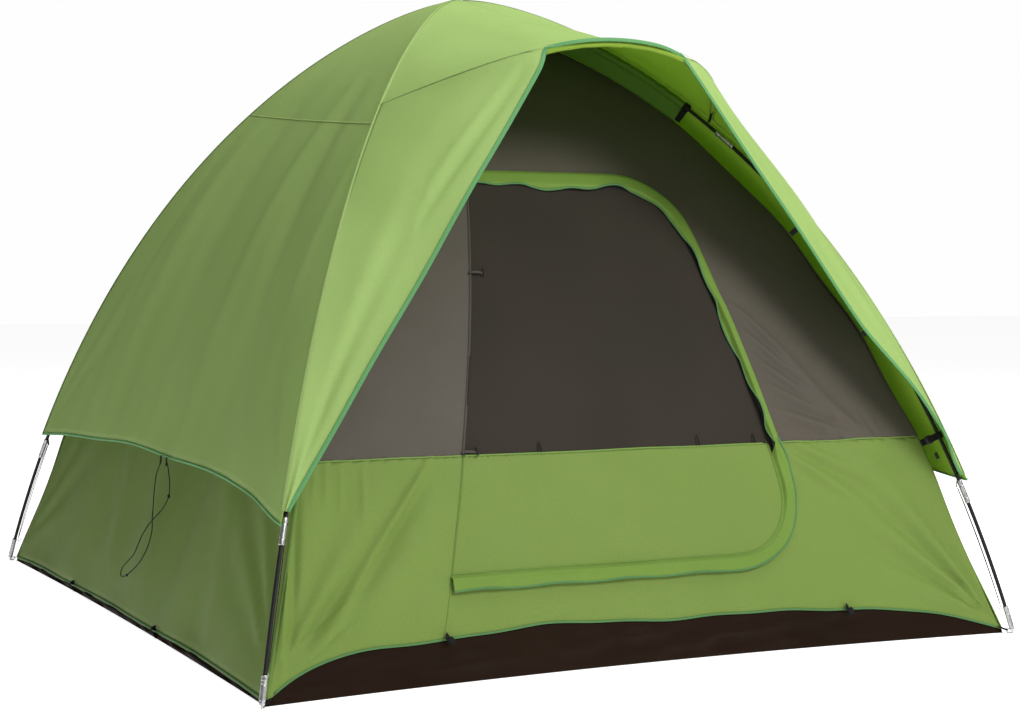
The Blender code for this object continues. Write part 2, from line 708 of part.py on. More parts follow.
def add_fly_front(material):
    """Front panel: a roof that runs out over the brow pole, and a wing from each leg to the visor's edge."""
    foot = rib_point((1, -1), BROW_FOOT, FLY_STANDOFF)
    corner_across = VISOR_CORNER / foot.x
    steps = 6
    side_run = [-1 + (1 - corner_across) * step / steps for step in range(steps)]
    middle_run = [corner_across * (2 * step / steps - 1) for step in range(steps)]
    columns = side_run + middle_run + [-across for across in reversed(side_run + [-corner_across])]
    rows = 5
    bm = bmesh.new()
    grid = []
    for row in range(rows + 1):
        out = row / rows
        line = []
        for across in columns:
            share = BROW_FOOT + (1 - BROW_FOOT) * (1 - abs(across))
            crease = rib_point((math.copysign(1, across), -1), share, FLY_STANDOFF)
            point = crease.lerp(fly_brow_point(across), out)
            point.z += VISOR_CROWN * 4 * out * (1 - out) * (1 - across**2)
            line.append(point)
        grid.append(line)
    add_grid(bm, grid)
    for hand in (-1, 1):
        beak = fly_brow_point(hand * corner_across)
        top = rib_point((hand, -1), BROW_FOOT, FLY_STANDOFF)
        tab = rib_point((hand, -1), FLY_HEM, FLY_STANDOFF) + Vector((-hand * WING_TAB, 0, 0.01))
        wing = []
        down_steps = 8
        for down in range(down_steps + 1):
            fall = down / down_steps
            crease = rib_point((hand, -1), BROW_FOOT + (FLY_HEM - BROW_FOOT) * fall, FLY_STANDOFF)
            edge = beak.lerp(tab, fall)
            line = []
            for step in range(steps + 1):
                across = step / steps
                arch = fly_brow_point(hand * (1 - (1 - corner_across) * across)) - top.lerp(beak, across)
                line.append(crease.lerp(edge, across) + arch * (1 - fall) ** 3)
            wing.append(line)
        add_grid(bm, wing)
    bmesh.ops.remove_doubles(bm, verts=bm.verts, dist=1e-5)
    part = add_object("fly_front_visor", mesh_from(bm, Vector((0, 0, 0.6))), material)
    thicken(part, FABRIC, 1)
    return part


# ---------------------------------------------------------------- cords
GUY_ROUTE = [  # laid by hand: down from the hem's tab, a crossing, a low loop and back up to the tab
    (-1.0380, -0.215, 0.4860), (-1.0380, -0.228, 0.4600), (-1.0380, -0.238, 0.4250), (-1.0390, -0.232, 0.3900),
    (-1.0470, -0.205, 0.3550), (-1.0580, -0.160, 0.3230), (-1.0680, -0.118, 0.2920), (-1.0780, -0.090, 0.2600),
    (-1.0870, -0.078, 0.2300), (-1.0940, -0.060, 0.2020), (-1.1010, -0.024, 0.1780), (-1.1080, 0.008, 0.1560),
    (-1.1130, 0.014, 0.1380), (-1.1160, -0.010, 0.1300), (-1.1130, -0.050, 0.1400), (-1.1080, -0.092, 0.1600),
    (-1.1010, -0.136, 0.1860), (-1.0920, -0.166, 0.2180), (-1.0800, -0.176, 0.2550), (-1.0690, -0.165, 0.2880),
    (-1.0620, -0.142, 0.3140), (-1.0520, -0.118, 0.3420), (-1.0440, -0.098, 0.3720), (-1.0390, -0.092, 0.4050),
    (-1.0380, -0.104, 0.4380), (-1.0380, -0.128, 0.4640), (-1.0380, -0.158, 0.4860)]


def smooth_route(points, samples):
    """Even walk along a Catmull-Rom curve through the route's points."""
    ends = [points[0] * 2 - points[1]] + points + [points[-1] * 2 - points[-2]]
    fine = []
    for index in range(1, len(ends) - 2):
        before, start, end, after = ends[index - 1:index + 3]
        for step in range(12):
            t = step / 12
            fine.append(0.5 * (2 * start + (end - before) * t + (2 * before - 5 * start + 4 * end - after) * t**2
                               + (3 * start - before - 3 * end + after) * t**3))
    fine.append(points[-1])
    lengths = lengths_along(fine)
    return [point_at(fine, lengths, lengths[-1] * step / (samples - 1)) for step in range(samples)]


def add_guyline(material):
    route = smooth_route([Vector(point) for point in GUY_ROUTE], GUY_SAMPLES)
    curve = bpy.data.curves.new("guyline", "CURVE")
    curve.dimensions = "3D"
    curve.bevel_depth = GUY_DIAMETER / 2
    curve.bevel_resolution = 2
    curve.use_fill_caps = True
    spline = curve.splines.new("POLY")
    spline.points.add(len(route) - 1)
    for target, point in zip(spline.points, route):
        target.co = (*point, 1.0)
    curve.materials.append(material)
    cord = bpy.data.objects.new("guyline", curve)
    bpy.context.collection.objects.link(cord)
    return cord


def add_bungee(name, corner, material):
    """Elastic cord from the fly's corner to a hook at the foot, beside the leg."""
    steps = 3
    path = []
    for step in range(steps + 1):
        share = BUNGEE_TOP + (BUNGEE_FOOT - BUNGEE_TOP) * step / steps
        path.append(rib_point(corner, share, BUNGEE_STANDOFF))
    sweep(f"corner_bungee_{name}", path, [BUNGEE_DIAMETER / 2] * len(path), 6, material)


# ---------------------------------------------------------------- the whole tent
def build():
    for old in list(bpy.data.objects):
        bpy.data.objects.remove(old, do_unlink=True)
    palette = {
        "fly_cloth": ((0.26, 0.42, 0.12), 0.60), "wall_cloth": ((0.20, 0.33, 0.08), 0.65),
        "upper_cloth": ((0.12, 0.11, 0.10), 0.70), "window_mesh": ((0.045, 0.040, 0.032), 0.85),
        "floor_cloth": ((0.022, 0.012, 0.008), 0.55), "fibreglass": ((0.015, 0.015, 0.015), 0.40),
        "black_plastic": ((0.012, 0.012, 0.012), 0.45), "cord": ((0.10, 0.10, 0.09), 0.80)}
    materials = {name: make_material(name, colour, rough) for name, (colour, rough) in palette.items()}
    materials["steel"] = make_material("steel", (0.55, 0.55, 0.56), 0.30, 1.0)

    for pole in "ab":
        add_main_pole(pole, materials["fibreglass"])
    add_brow_pole(materials["fibreglass"])
    add_floor_tub(materials["floor_cloth"])
    for name, side in SIDES.items():
        add_inner_panel(f"inner_wall_{name}", side, materials["upper_cloth"])
    doorway = cutter("doorway_cutter", door_outline(DOOR_CLEARANCE))
    cut(bpy.data.objects["inner_wall_front"], doorway, "DIFFERENCE")
    add_door(materials)
    add_sliders(materials["black_plastic"])
    for name in ("left", "right", "back"):
        add_fly_panel(f"fly_{name}", SIDES[name], materials["fly_cloth"])
    add_fly_front(materials["fly_cloth"])
    for name, corner in CORNERS.items():
        add_pole_foot(name, corner, materials["steel"], materials["steel"])
        for index, share in enumerate(CLIP_PLACES):
            add_clip(f"pole_clip_{name}_{index + 1}", corner, share, materials["black_plastic"])
        add_sleeve(f"pole_sleeve_{name}", corner, materials["wall_cloth"])
        add_bungee(name, corner, materials["cord"])
    add_guyline(materials["cord"])


build()
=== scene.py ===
# %% [markdown]
# # A dome tent on two crossed poles
# This lesson dresses a bare tent frame in cloth. The frame gives the poles, hooks and joints, all in
# metres. We add what a tent maker adds: a rain fly with a visor, an inner tent with a door, tape on every
# raw edge. Every new surface is a function of two parameters that numpy works out for a whole grid at once.

# %% Load the frame
import json
import math

import bmesh
import bpy
import numpy as np
from mathutils import Matrix


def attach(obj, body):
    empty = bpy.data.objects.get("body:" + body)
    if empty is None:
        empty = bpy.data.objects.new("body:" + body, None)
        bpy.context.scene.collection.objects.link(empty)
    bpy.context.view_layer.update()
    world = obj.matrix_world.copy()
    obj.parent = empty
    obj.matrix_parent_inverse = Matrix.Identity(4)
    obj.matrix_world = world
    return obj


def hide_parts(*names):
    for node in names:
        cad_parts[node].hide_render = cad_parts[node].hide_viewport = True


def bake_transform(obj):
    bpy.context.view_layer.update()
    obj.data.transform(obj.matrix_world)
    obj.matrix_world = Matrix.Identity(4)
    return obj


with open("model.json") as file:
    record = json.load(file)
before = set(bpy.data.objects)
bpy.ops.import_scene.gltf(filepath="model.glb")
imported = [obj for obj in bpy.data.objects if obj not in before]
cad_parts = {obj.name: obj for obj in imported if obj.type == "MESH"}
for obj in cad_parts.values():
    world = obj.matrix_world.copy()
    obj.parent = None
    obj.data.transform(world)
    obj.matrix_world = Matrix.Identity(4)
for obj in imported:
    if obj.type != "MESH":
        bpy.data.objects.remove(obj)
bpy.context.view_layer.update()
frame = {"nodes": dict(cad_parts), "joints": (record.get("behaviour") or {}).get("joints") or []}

joints = {joint["name"]: joint for joint in frame["joints"]}

# %% [markdown]
# ## The camera, the light and the floor
# The camera comes first. It stands low in front of the tent's left corner and looks slightly down, on a
# long lens, so that the walls stay upright. A pale floor and large soft lamps keep the cloth's own colour.
# The key lamp hangs to the right of the door, so the visor and the front wall are the bright sides.

# %% Camera
CAMERA_PLACE = (-2.727, -5.763, 1.054)
CAMERA_TURN = 26.78      # degrees to the right of straight ahead
CAMERA_DIP = 2.588       # degrees below the horizon
CAMERA_ROLL = 0.268      # degrees, the right side up
LENS = 69.83
SENSOR = 36.0

lens = bpy.data.cameras.new("camera")
lens.lens, lens.sensor_width = LENS, SENSOR
camera = bpy.data.objects.new("camera", lens)
camera.location = CAMERA_PLACE
camera.rotation_euler = (Matrix.Rotation(math.radians(-CAMERA_TURN), 3, "Z")
                         @ Matrix.Rotation(math.radians(90 - CAMERA_DIP), 3, "X")
                         @ Matrix.Rotation(math.radians(CAMERA_ROLL), 3, "Z")).to_euler()
bpy.context.collection.objects.link(camera)
bpy.context.scene.camera = camera
bpy.context.scene.view_settings.view_transform = "Standard"


# %% Lamps, sky and floor
def add_lamp(name, place, size, power, target=(0, 0, 0.8)):
    """Square soft lamp that looks at a target."""
    light = bpy.data.lights.new(name, "AREA")
    light.size, light.energy = size, power
    lamp = bpy.data.objects.new(name, light)
    aim = np.array(target) - np.array(place)
    flat = math.hypot(aim[0], aim[1])
    lamp.location = place
    lamp.rotation_euler = (math.atan2(flat, -aim[2]), 0, math.atan2(-aim[0], aim[1]))
    bpy.context.collection.objects.link(lamp)


SKY_LIGHT, SKY_SEEN = 0.09, 0.99    # the studio's own light, and how bright its plain wall looks
FLOOR_GLOW = 0.87                   # the floor is lit from below, so it stays pale
FLOOR_HALF = 30.0

add_lamp("key", (2.0, -6.6, 5.8), 3.5, 545)
add_lamp("top", (0.6, -0.8, 6.5), 4.0, 315)
sky = bpy.data.worlds.new("sky")
sky.use_nodes = True
seen = sky.node_tree.nodes.new("ShaderNodeLightPath")
strength = sky.node_tree.nodes.new("ShaderNodeMapRange")
strength.inputs["To Min"].default_value = SKY_LIGHT
strength.inputs["To Max"].default_value = SKY_SEEN
background = sky.node_tree.nodes["Background"]
background.inputs["Color"].default_value = (1, 1, 1, 1)
sky.node_tree.links.new(seen.outputs["Is Camera Ray"], strength.inputs["Value"])
sky.node_tree.links.new(strength.outputs["Result"], background.inputs["Strength"])
bpy.context.scene.world = sky

floor_finish = bpy.data.materials.new("pale floor")
floor_finish.use_nodes = True
floor_shader = floor_finish.node_tree.nodes["Principled BSDF"]
for socket, value in (("Base Color", (0.86, 0.86, 0.85, 1)), ("Roughness", 0.9),
                      ("Emission Color", (1, 1, 1, 1)), ("Emission Strength", FLOOR_GLOW)):
    floor_shader.inputs[socket].default_value = value
far = FLOOR_HALF
floor_mesh = bpy.data.meshes.new("floor")
floor_mesh.from_pydata([(-far, -far, 0), (far, -far, 0), (far, far, 0), (-far, far, 0)], [], [(0, 1, 2, 3)])
floor_mesh.materials.append(floor_finish)
floor = bpy.data.objects.new("floor", floor_mesh)
bpy.context.collection.objects.link(floor)
print("camera, lamps and floor are in place")

# %% [markdown]
# ## From numbers to meshes
# A grid of points becomes a sheet when neighbouring cells share corners. A closed profile that is carried
# along a path becomes a rod, a tape or a strap. Both are plain arrays, so a mesh of ten thousand faces
# takes a moment.

# %% Grid helpers
def cells(rows, columns, wrap=False):
    """Corner numbers of a grid's cells: each cell joins point (r, c) to (r, c+1), (r+1, c+1) and (r+1, c)."""
    r = np.arange(rows - 1)[:, None]
    c = np.arange(columns if wrap else columns - 1)[None, :]
    after = (c + 1) % columns
    return np.stack([r * columns + c, r * columns + after,
                     (r + 1) * columns + after, (r + 1) * columns + c], -1).reshape(-1, 4)


def steps_along(path):
    """Length walked at each point of a path: the running sum of the distances between neighbours."""
    return np.concatenate([[0.0], np.cumsum(np.linalg.norm(np.diff(path, axis=0), axis=1))])


def unit(vectors):
    """The same directions at length 1."""
    return vectors / np.maximum(np.linalg.norm(vectors, axis=-1, keepdims=True), 1e-12)


def tangents(path):
    """The direction of travel at each point of a path."""
    return unit(np.gradient(path, axis=0))


def walk_to(path, marks):
    """The points that lie the given distances along a path."""
    walked = steps_along(path)
    return np.stack([np.interp(marks, walked, path[:, axis]) for axis in range(path.shape[1])], -1)


def even_walk(path, count, start=0.0, end=None):
    """Evenly spaced points between two distances along a path."""
    return walk_to(path, np.linspace(start, steps_along(path)[-1] if end is None else end, count))


# %% Meshes and cloth
def put(name, points, faces, uv, materials, body="tent", slot=None):
    """One piece from points (n, 3), faces and a UV pair for every face corner; it rides on a body."""
    mesh = bpy.data.meshes.new(name)
    mesh.from_pydata(np.asarray(points, float).reshape(-1, 3).tolist(), [], faces)
    mesh.polygons.foreach_set("use_smooth", np.full(len(mesh.polygons), True))
    if uv is not None:
        mesh.uv_layers.new(name="cloth").uv.foreach_set("vector", np.asarray(uv, np.float32).ravel())
    for material in materials:
        mesh.materials.append(material)
    mesh.update()
    piece = bpy.data.objects.new(name, mesh)
    bpy.context.collection.objects.link(piece)
    if body:
        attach(piece, body)
    return piece


def facing_out(points, quads, centre=(0.0, 0.0, 0.6)):
    """The same cells, turned round if most of them look towards the tent's middle."""
    a, b, c, d = (points.reshape(-1, 3)[quads[:, k]] for k in range(4))
    out = np.einsum("ij,ij->", np.cross(c - a, d - b), (a + b + c + d) / 4 - np.array(centre))
    return quads if out > 0 else quads[:, ::-1]


CLOTH_THICKNESS = 0.0012


def thicken(piece, thickness=CLOTH_THICKNESS, inner_slot=0):
    """Gives a sheet its two faces and closed edges; the inner face may use the next material."""
    solid = piece.modifiers.new("thickness", "SOLIDIFY")
    solid.thickness = thickness
    solid.offset = -1.0
    solid.material_offset = inner_slot
    return piece


def put_sheet(name, points, plane, materials, body="tent", slot=None):
    """Cloth from a grid of points (r, c, 3) and its flat coordinates (r, c, 2) in metres."""
    quads = facing_out(points, cells(*points.shape[:2]))
    flat = plane.reshape(-1, 2)
    piece = put(name, points, quads.tolist(), flat[quads.ravel()], materials, body, slot)
    return thicken(piece, inner_slot=len(materials) - 1)


print("mesh helpers ready")


# %% Sweep helpers
def carry(path, across, normal, profile, scale=None):
    """Closed sweep. Each point is the path plus a times across plus b times normal, for the profile's (a, b).

    Returns points, faces and corner UVs; U runs along the path and V round the profile, both in metres.
    """
    size = np.ones((len(path), 1, 1)) if scale is None else np.asarray(scale)[:, None, None]
    a, b = profile[:, 0], profile[:, 1]
    points = path[:, None] + size * (a[None, :, None] * across[:, None] + b[None, :, None] * normal[:, None])
    count = len(profile)
    quads = cells(len(path), count, wrap=True)
    along = steps_along(path)
    round_it = steps_along(np.append(profile, profile[:1], axis=0))
    r, c = np.divmod(np.arange(len(quads)), count)
    uv = np.stack([np.stack([along[r + down], round_it[c + right]], -1)
                   for down, right in ((0, 0), (0, 1), (1, 1), (1, 0))], 1)
    flat = points.reshape(-1, 3)
    p, q, s = (flat[quads[:, k]] for k in range(3))
    first = np.arange(count)
    last = first + (len(path) - 1) * count
    if np.einsum("ij,ij->", np.cross(q - p, s - p), p - flat.mean(0)) < 0:
        quads, uv, first, last = quads[:, ::-1], uv[:, ::-1], first[::-1], last[::-1]
    ends = [first[::-1].tolist(), last.tolist()]
    return flat, quads.tolist() + ends, np.concatenate([uv.reshape(-1, 2), np.zeros((2 * count, 2))])


def circle(radius, sides=16):
    """Round profile with its points evenly spaced."""
    turn = np.arange(sides) * 2 * math.pi / sides
    return radius * np.stack([np.cos(turn), np.sin(turn)], -1)


def strap_profile(width, thickness):
    """Flat band with rounded edges: a superellipse."""
    turn = np.arange(16) * 2 * math.pi / 16
    c, s = np.cos(turn), np.sin(turn)
    return np.stack([width / 2 * np.sign(c) * np.abs(c) ** 0.35,
                     thickness / 2 * np.sign(s) * np.abs(s) ** 0.6], -1)


def rod(name, path, radius, material, up=(0, 0, 1), sides=16, body="tent", slot=None, scale=None):
    """Round rod along a path; up is any direction that the path never follows."""
    along = tangents(path)
    across = unit(np.cross(along, np.array(up, float)))
    swept = carry(path, across, np.cross(across, along), circle(radius, sides), scale)
    return put(name, *swept, [material], body, slot)


print("sweep helpers ready")

# %% [markdown]
# ## Cloth, rod and metal finishes
# Tent cloth is a fine polyester taffeta with a coating inside: a tight weave, faint mottling where the
# coating is thicker, and small crinkles from being packed. The weave follows the cloth's own flat
# coordinates, while the mottling reads the object's coordinates, so it runs on over a seam. A little light
# passes through the fly, which is what turns the grey wall under the visor green, so the fly's finish mixes
# in a translucent shader, and its inside face is painted a saturated green that stands for more of that
# light.

# %% Node helpers
def add_node(tree, kind, values=None, **settings):
    """One shader node: settings are its own options, values fill its input sockets or link them."""
    made = tree.nodes.new(kind)
    for option, value in settings.items():
        setattr(made, option, value)
    for socket, value in (values or {}).items():
        if isinstance(value, bpy.types.NodeSocket):
            tree.links.new(value, made.inputs[socket])
        else:
            made.inputs[socket].default_value = value
    return made


def new_finish(name, roughness, **constants):
    """A material with its node tree and its shader; an underscore in a constant's name stands for a space."""
    material = bpy.data.materials.new(name)
    material.use_nodes = True
    shader = material.node_tree.nodes["Principled BSDF"]
    shader.inputs["Roughness"].default_value = roughness
    for socket, value in constants.items():
        shader.inputs[socket.replace("_", " ")].default_value = value
    return material, material.node_tree, shader


def feed(tree, shader, **outputs):
    """Links node outputs to the shader's sockets of those names."""
    for socket, output in outputs.items():
        tree.links.new(output, shader.inputs[socket.replace("_", " ")])


def ranged(tree, value, low, high):
    """Spreads a factor from 0..1 over low..high."""
    return add_node(tree, "ShaderNodeMapRange", {"Value": value, "To Min": low,
                                                 "To Max": high}).outputs["Result"]


# %% Patterns for the finishes
def blotches(tree, scale, detail=3.0):
    """Noise between 0 and 1 on the piece's own coordinates."""
    place = add_node(tree, "ShaderNodeTexCoord").outputs["Object"]
    return add_node(tree, "ShaderNodeTexNoise", {"Vector": place, "Scale": scale,
                                                 "Detail": detail}).outputs["Fac"]


def blend_colours(tree, factor, first, second):
    """Mixes two colours, or the outputs that give them, by a factor."""
    mix = add_node(tree, "ShaderNodeMix", data_type="RGBA")
    tree.links.new(factor, mix.inputs["Factor"])
    for socket, value in (("A", first), ("B", second)):
        target = [s for s in mix.inputs if s.name == socket and s.type == "RGBA"][0]
        if isinstance(value, bpy.types.NodeSocket):
            tree.links.new(value, target)
        else:
            target.default_value = (*value, 1)
    return [s for s in mix.outputs if s.type == "RGBA"][0]


def stretched(tree, factor, low, high):
    """Maps a factor from low..high to 0..1, smoothly."""
    return add_node(tree, "ShaderNodeMapRange", {"Value": factor, "From Min": low, "From Max": high},
                    interpolation_type="SMOOTHSTEP").outputs["Result"]


def bumped(tree, height, strength, distance, before=None):
    """Normals that follow a height, laid over the normals from before."""
    values = {"Height": height, "Strength": strength, "Distance": distance}
    if before is not None:
        values["Normal"] = before
    return add_node(tree, "ShaderNodeBump", values).outputs["Normal"]


def weave(tree, pitch):
    """Plain weave on the cloth's flat coordinates: threads one pitch apart both ways."""
    place = add_node(tree, "ShaderNodeTexCoord").outputs["UV"]
    bands = [add_node(tree, "ShaderNodeTexWave", {"Vector": place, "Scale": 2 * math.pi / 20 / pitch},
                      bands_direction=direction).outputs["Fac"] for direction in "XY"]
    return add_node(tree, "ShaderNodeMath", {0: bands[0], 1: bands[1]}, operation="MULTIPLY").outputs[0]


# %% Cloth finish
def cloth_finish(name, colour, shade, roughness=0.55, pitch=0.0005, crinkle=0.35, glow=None, gloss=0.12):
    """Coated taffeta. shade is the darker mottles' colour, and glow is the light that comes through."""
    material, tree, shader = new_finish(name, roughness, Specular_IOR_Level=gloss)
    mottle = stretched(tree, blotches(tree, 2.2, 4.0), 0.35, 0.70)
    fleck = stretched(tree, blotches(tree, 420.0, 1.0), 0.30, 0.85)
    base = blend_colours(tree, mottle, colour, shade)
    tone = blend_colours(tree, fleck, base, tuple(0.9 * part for part in shade))
    rough = ranged(tree, blotches(tree, 9.0, 5.0), roughness - 0.10, roughness + 0.14)
    packed = bumped(tree, blotches(tree, 16.0, 7.0), crinkle, 0.004)
    fine = bumped(tree, blotches(tree, 85.0, 3.0), crinkle * 0.6, 0.0007, packed)
    threads = bumped(tree, weave(tree, pitch), 0.35, 0.00012, fine)
    feed(tree, shader, Base_Color=tone, Roughness=rough, Normal=threads)
    if glow:
        through = add_node(tree, "ShaderNodeBsdfTranslucent", {"Color": (*glow, 1)})
        both = add_node(tree, "ShaderNodeMixShader", {0: GLOW_SHARE, 1: shader.outputs[0],
                                                      2: through.outputs[0]})
        tree.links.new(both.outputs[0], tree.nodes["Material Output"].inputs["Surface"])
    return material


GLOW = (0.37, 0.58, 0.085)    # the light that comes through the fly
GLOW_SHARE = 0.38
fly_cloth = cloth_finish("fly cloth, coated taffeta", (0.435, 0.610, 0.205), (0.400, 0.570, 0.182), glow=GLOW)
# The inside face's saturated green is painted light that comes through the cloth, added to its translucent
# share.
fly_inside_with_painted_light = cloth_finish("fly cloth inside, coated, with painted light through it", (0.32, 0.48, 0.060), (0.29, 0.44, 0.053), 0.42,
                          glow=GLOW)
wall_green = cloth_finish("lower wall cloth", (0.146, 0.219, 0.047), (0.133, 0.202, 0.042))
wall_grey = cloth_finish("upper wall cloth, breathable", (0.084, 0.073, 0.058), (0.074, 0.065, 0.051), 0.6)
sleeve_green = cloth_finish("sleeve cloth", (0.085, 0.175, 0.020), (0.070, 0.150, 0.018), 0.5)
flap_green = cloth_finish("flap cloth", (0.135, 0.226, 0.038), (0.120, 0.205, 0.034))
floor_brown = cloth_finish("groundsheet, coated polyethylene", (0.015, 0.0072, 0.0034),
                           (0.011, 0.0052, 0.0025),
                           0.62, pitch=0.0011, crinkle=0.45, gloss=0.05)
binding = cloth_finish("binding tape", (0.100, 0.265, 0.100), (0.085, 0.235, 0.086), 0.62, pitch=0.0012,
                       crinkle=0.1)
inner_binding = cloth_finish("inner tent's binding tape", (0.076, 0.180, 0.062), (0.066, 0.160, 0.054), 0.62,
                             pitch=0.0012, crinkle=0.1)
seam_green = cloth_finish("felled seam", (0.270, 0.380, 0.125), (0.248, 0.354, 0.112), crinkle=0.2)
seam_grey = cloth_finish("dark seam tape", (0.060, 0.052, 0.045), (0.045, 0.040, 0.035), crinkle=0.1)


# %% Net, webbing, rod, steel and plastic finishes
def net_finish():
    """Insect net on a brown-grey cloth: the gaps between its threads are darker, painted shade of the tent's
    inside seen through the holes.
    """
    material, tree, shader = new_finish("window net", 0.85, Sheen_Weight=0.03, Specular_IOR_Level=0.15)
    weave_and_hole_shade = weave(tree, 0.0011)
    mottle = stretched(tree, blotches(tree, 1.8, 3.0), 0.3, 0.7)
    cloth = blend_colours(tree, mottle, (0.026, 0.021, 0.015), (0.019, 0.0155, 0.011))
    # painted shade: the threads are lighter and the gaps stay at the darker cloth colour, for the dark inside
    # behind the holes
    tone = blend_colours(tree, stretched(tree, weave_and_hole_shade, 0.3, 0.7), cloth, (0.040, 0.034, 0.026))
    soft = bumped(tree, blotches(tree, 11.0, 4.0), 0.3, 0.004)
    feed(tree, shader, Base_Color=tone, Normal=bumped(tree, weave_and_hole_shade, 0.6, 0.0003, soft))
    return material


def webbing_finish(name, colour, pitch=0.0018):
    """Woven band or braid: raised ribs, with painted shade darkening the gaps between them."""
    material, tree, shader = new_finish(name, 0.75, Specular_IOR_Level=0.12)
    ribs_and_gap_shade = weave(tree, pitch)
    # painted shade: the gaps between the ribs are darkened to 0.6 of the colour
    tone = blend_colours(tree, ribs_and_gap_shade, tuple(0.6 * c for c in colour), colour)
    feed(tree, shader, Base_Color=tone, Normal=bumped(tree, ribs_and_gap_shade, 0.9, 0.0004))
    return material


def fibreglass_finish():
    """Wrapped black rod: faint lengthways fibres, slightly glossy resin, scuffed in places."""
    material, tree, shader = new_finish("fibreglass rod", 0.42, Specular_IOR_Level=0.22)
    place = add_node(tree, "ShaderNodeTexCoord").outputs["UV"]
    turned = add_node(tree, "ShaderNodeMapping", {"Vector": place, "Scale": (6.0, 900.0, 1.0)}).outputs[0]
    fibres = add_node(tree, "ShaderNodeTexNoise", {"Vector": turned, "Scale": 1.0,
                                                   "Detail": 2.0}).outputs["Fac"]
    feed(tree, shader, Base_Color=blend_colours(tree, fibres, (0.006, 0.006, 0.006), (0.015, 0.0145, 0.014)),
         Roughness=ranged(tree, blotches(tree, 30.0, 4.0), 0.35, 0.62),
         Normal=bumped(tree, fibres, 0.4, 0.0001))
    return material


def metal_finish(name, colour, roughness):
    """Drawn steel: fine lengthways lines, and duller patches from handling."""
    material, tree, shader = new_finish(name, roughness, Metallic=1.0)
    dull = stretched(tree, blotches(tree, 60.0, 4.0), 0.35, 0.75)
    feed(tree, shader, Base_Color=blend_colours(tree, dull, colour, tuple(0.7 * c for c in colour)),
         Roughness=ranged(tree, blotches(tree, 140.0, 2.0), roughness, roughness + 0.2),
         Normal=bumped(tree, blotches(tree, 350.0, 1.0), 0.15, 0.0002))
    return material


def plastic_finish(name, colour, roughness=0.42):
    """Moulded plastic: slight cloudiness and a fine grain."""
    material, tree, shader = new_finish(name, roughness, Specular_IOR_Level=0.25)
    feed(tree, shader, Normal=bumped(tree, blotches(tree, 900.0, 1.0), 0.3, 0.0001),
         Base_Color=blend_colours(tree, blotches(tree, 40.0, 3.0), colour, tuple(1.6 * c for c in colour)))
    return material


net = net_finish()
black_webbing = webbing_finish("black webbing", (0.010, 0.010, 0.010))
grey_cord = webbing_finish("guyline braid", (0.030, 0.028, 0.024), 0.0012)
elastic = webbing_finish("elastic cord", (0.022, 0.021, 0.020), 0.0009)
fibreglass = fibreglass_finish()
steel = metal_finish("plated steel", (0.50, 0.50, 0.50), 0.34)
black_plastic = plastic_finish("moulded black plastic", (0.008, 0.008, 0.008))
zip_coil = webbing_finish("zip coil and tape", (0.030, 0.028, 0.026), 0.0015)
print("finishes:", len(bpy.data.materials))

# %% [markdown]
# ## The loose guyline
# One thin cord hangs from a tab on the left hem as a long loop with a crossing. It is limp, so it hangs
# under its own weight. The route is listed point by point, and a smooth curve through its points gives the
# real length.

# %% Guyline
GUY_DIAMETER = 0.003
GUY_ROUTE = np.array([
    (-1.0380, -0.215, 0.4860), (-1.0380, -0.228, 0.4600), (-1.0380, -0.238, 0.4250),
    (-1.0390, -0.232, 0.3900),
    (-1.0470, -0.205, 0.3550), (-1.0580, -0.160, 0.3230), (-1.0680, -0.118, 0.2920),
    (-1.0780, -0.090, 0.2600),
    (-1.0870, -0.078, 0.2300), (-1.0940, -0.060, 0.2020), (-1.1010, -0.024, 0.1780), (-1.1080, 0.008, 0.1560),
    (-1.1130, 0.014, 0.1380), (-1.1160, -0.010, 0.1300), (-1.1130, -0.050, 0.1400), (-1.1080, -0.092, 0.1600),
    (-1.1010, -0.136, 0.1860), (-1.0920, -0.166, 0.2180), (-1.0800, -0.176, 0.2550),
    (-1.0690, -0.165, 0.2880),
    (-1.0620, -0.142, 0.3140), (-1.0520, -0.118, 0.3420), (-1.0440, -0.098, 0.3720),
    (-1.0390, -0.092, 0.4050),
    (-1.0380, -0.104, 0.4380), (-1.0380, -0.128, 0.4640), (-1.0380, -0.158, 0.4860)])


def smooth_route(points, between=12):
    """Catmull-Rom curve: each stretch is a cubic in t set by its two ends and their neighbours."""
    ends = np.concatenate([[2 * points[0] - points[1]], points, [2 * points[-1] - points[-2]]])
    before, start, end, after = (ends[k:len(ends) - 3 + k][:, None] for k in range(4))
    t = (np.arange(between) / between)[None, :, None]
    run = 0.5 * (2 * start + (end - before) * t + (2 * before - 5 * start + 4 * end - after) * t**2
                 + (3 * start - before - 3 * end + after) * t**3)
    return np.concatenate([run.reshape(-1, 3), points[-1:]])


guy_path = even_walk(smooth_route(GUY_ROUTE), 240)
guyline = rod("guyline_cord", guy_path, GUY_DIAMETER / 2, grey_cord, up=(1, 0, 0), sides=10, slot="cord")
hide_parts("guyline")
print("guyline", round(steps_along(guy_path)[-1], 3), "m")

# %% [markdown]
# ## The poles' curve
# Both main poles follow one curve in a standing plane. Its span and its height are cubics of one share that
# runs from 0 at the foot to 1 at the crossing. The cloth keeps a set distance from that curve, so the same
# function also gives the fly's creases outside the poles and the inner tent's corners inside them.

# %% The shared curve
HALF_WIDTH, HALF_DEPTH = 1.150, 1.333
POLE_HEIGHT, POLE_RISE, POLE_LEAN, POLE_BELLY = 1.885, 2.424, 0.791, 1.003
SPAN = math.hypot(HALF_WIDTH, HALF_DEPTH)


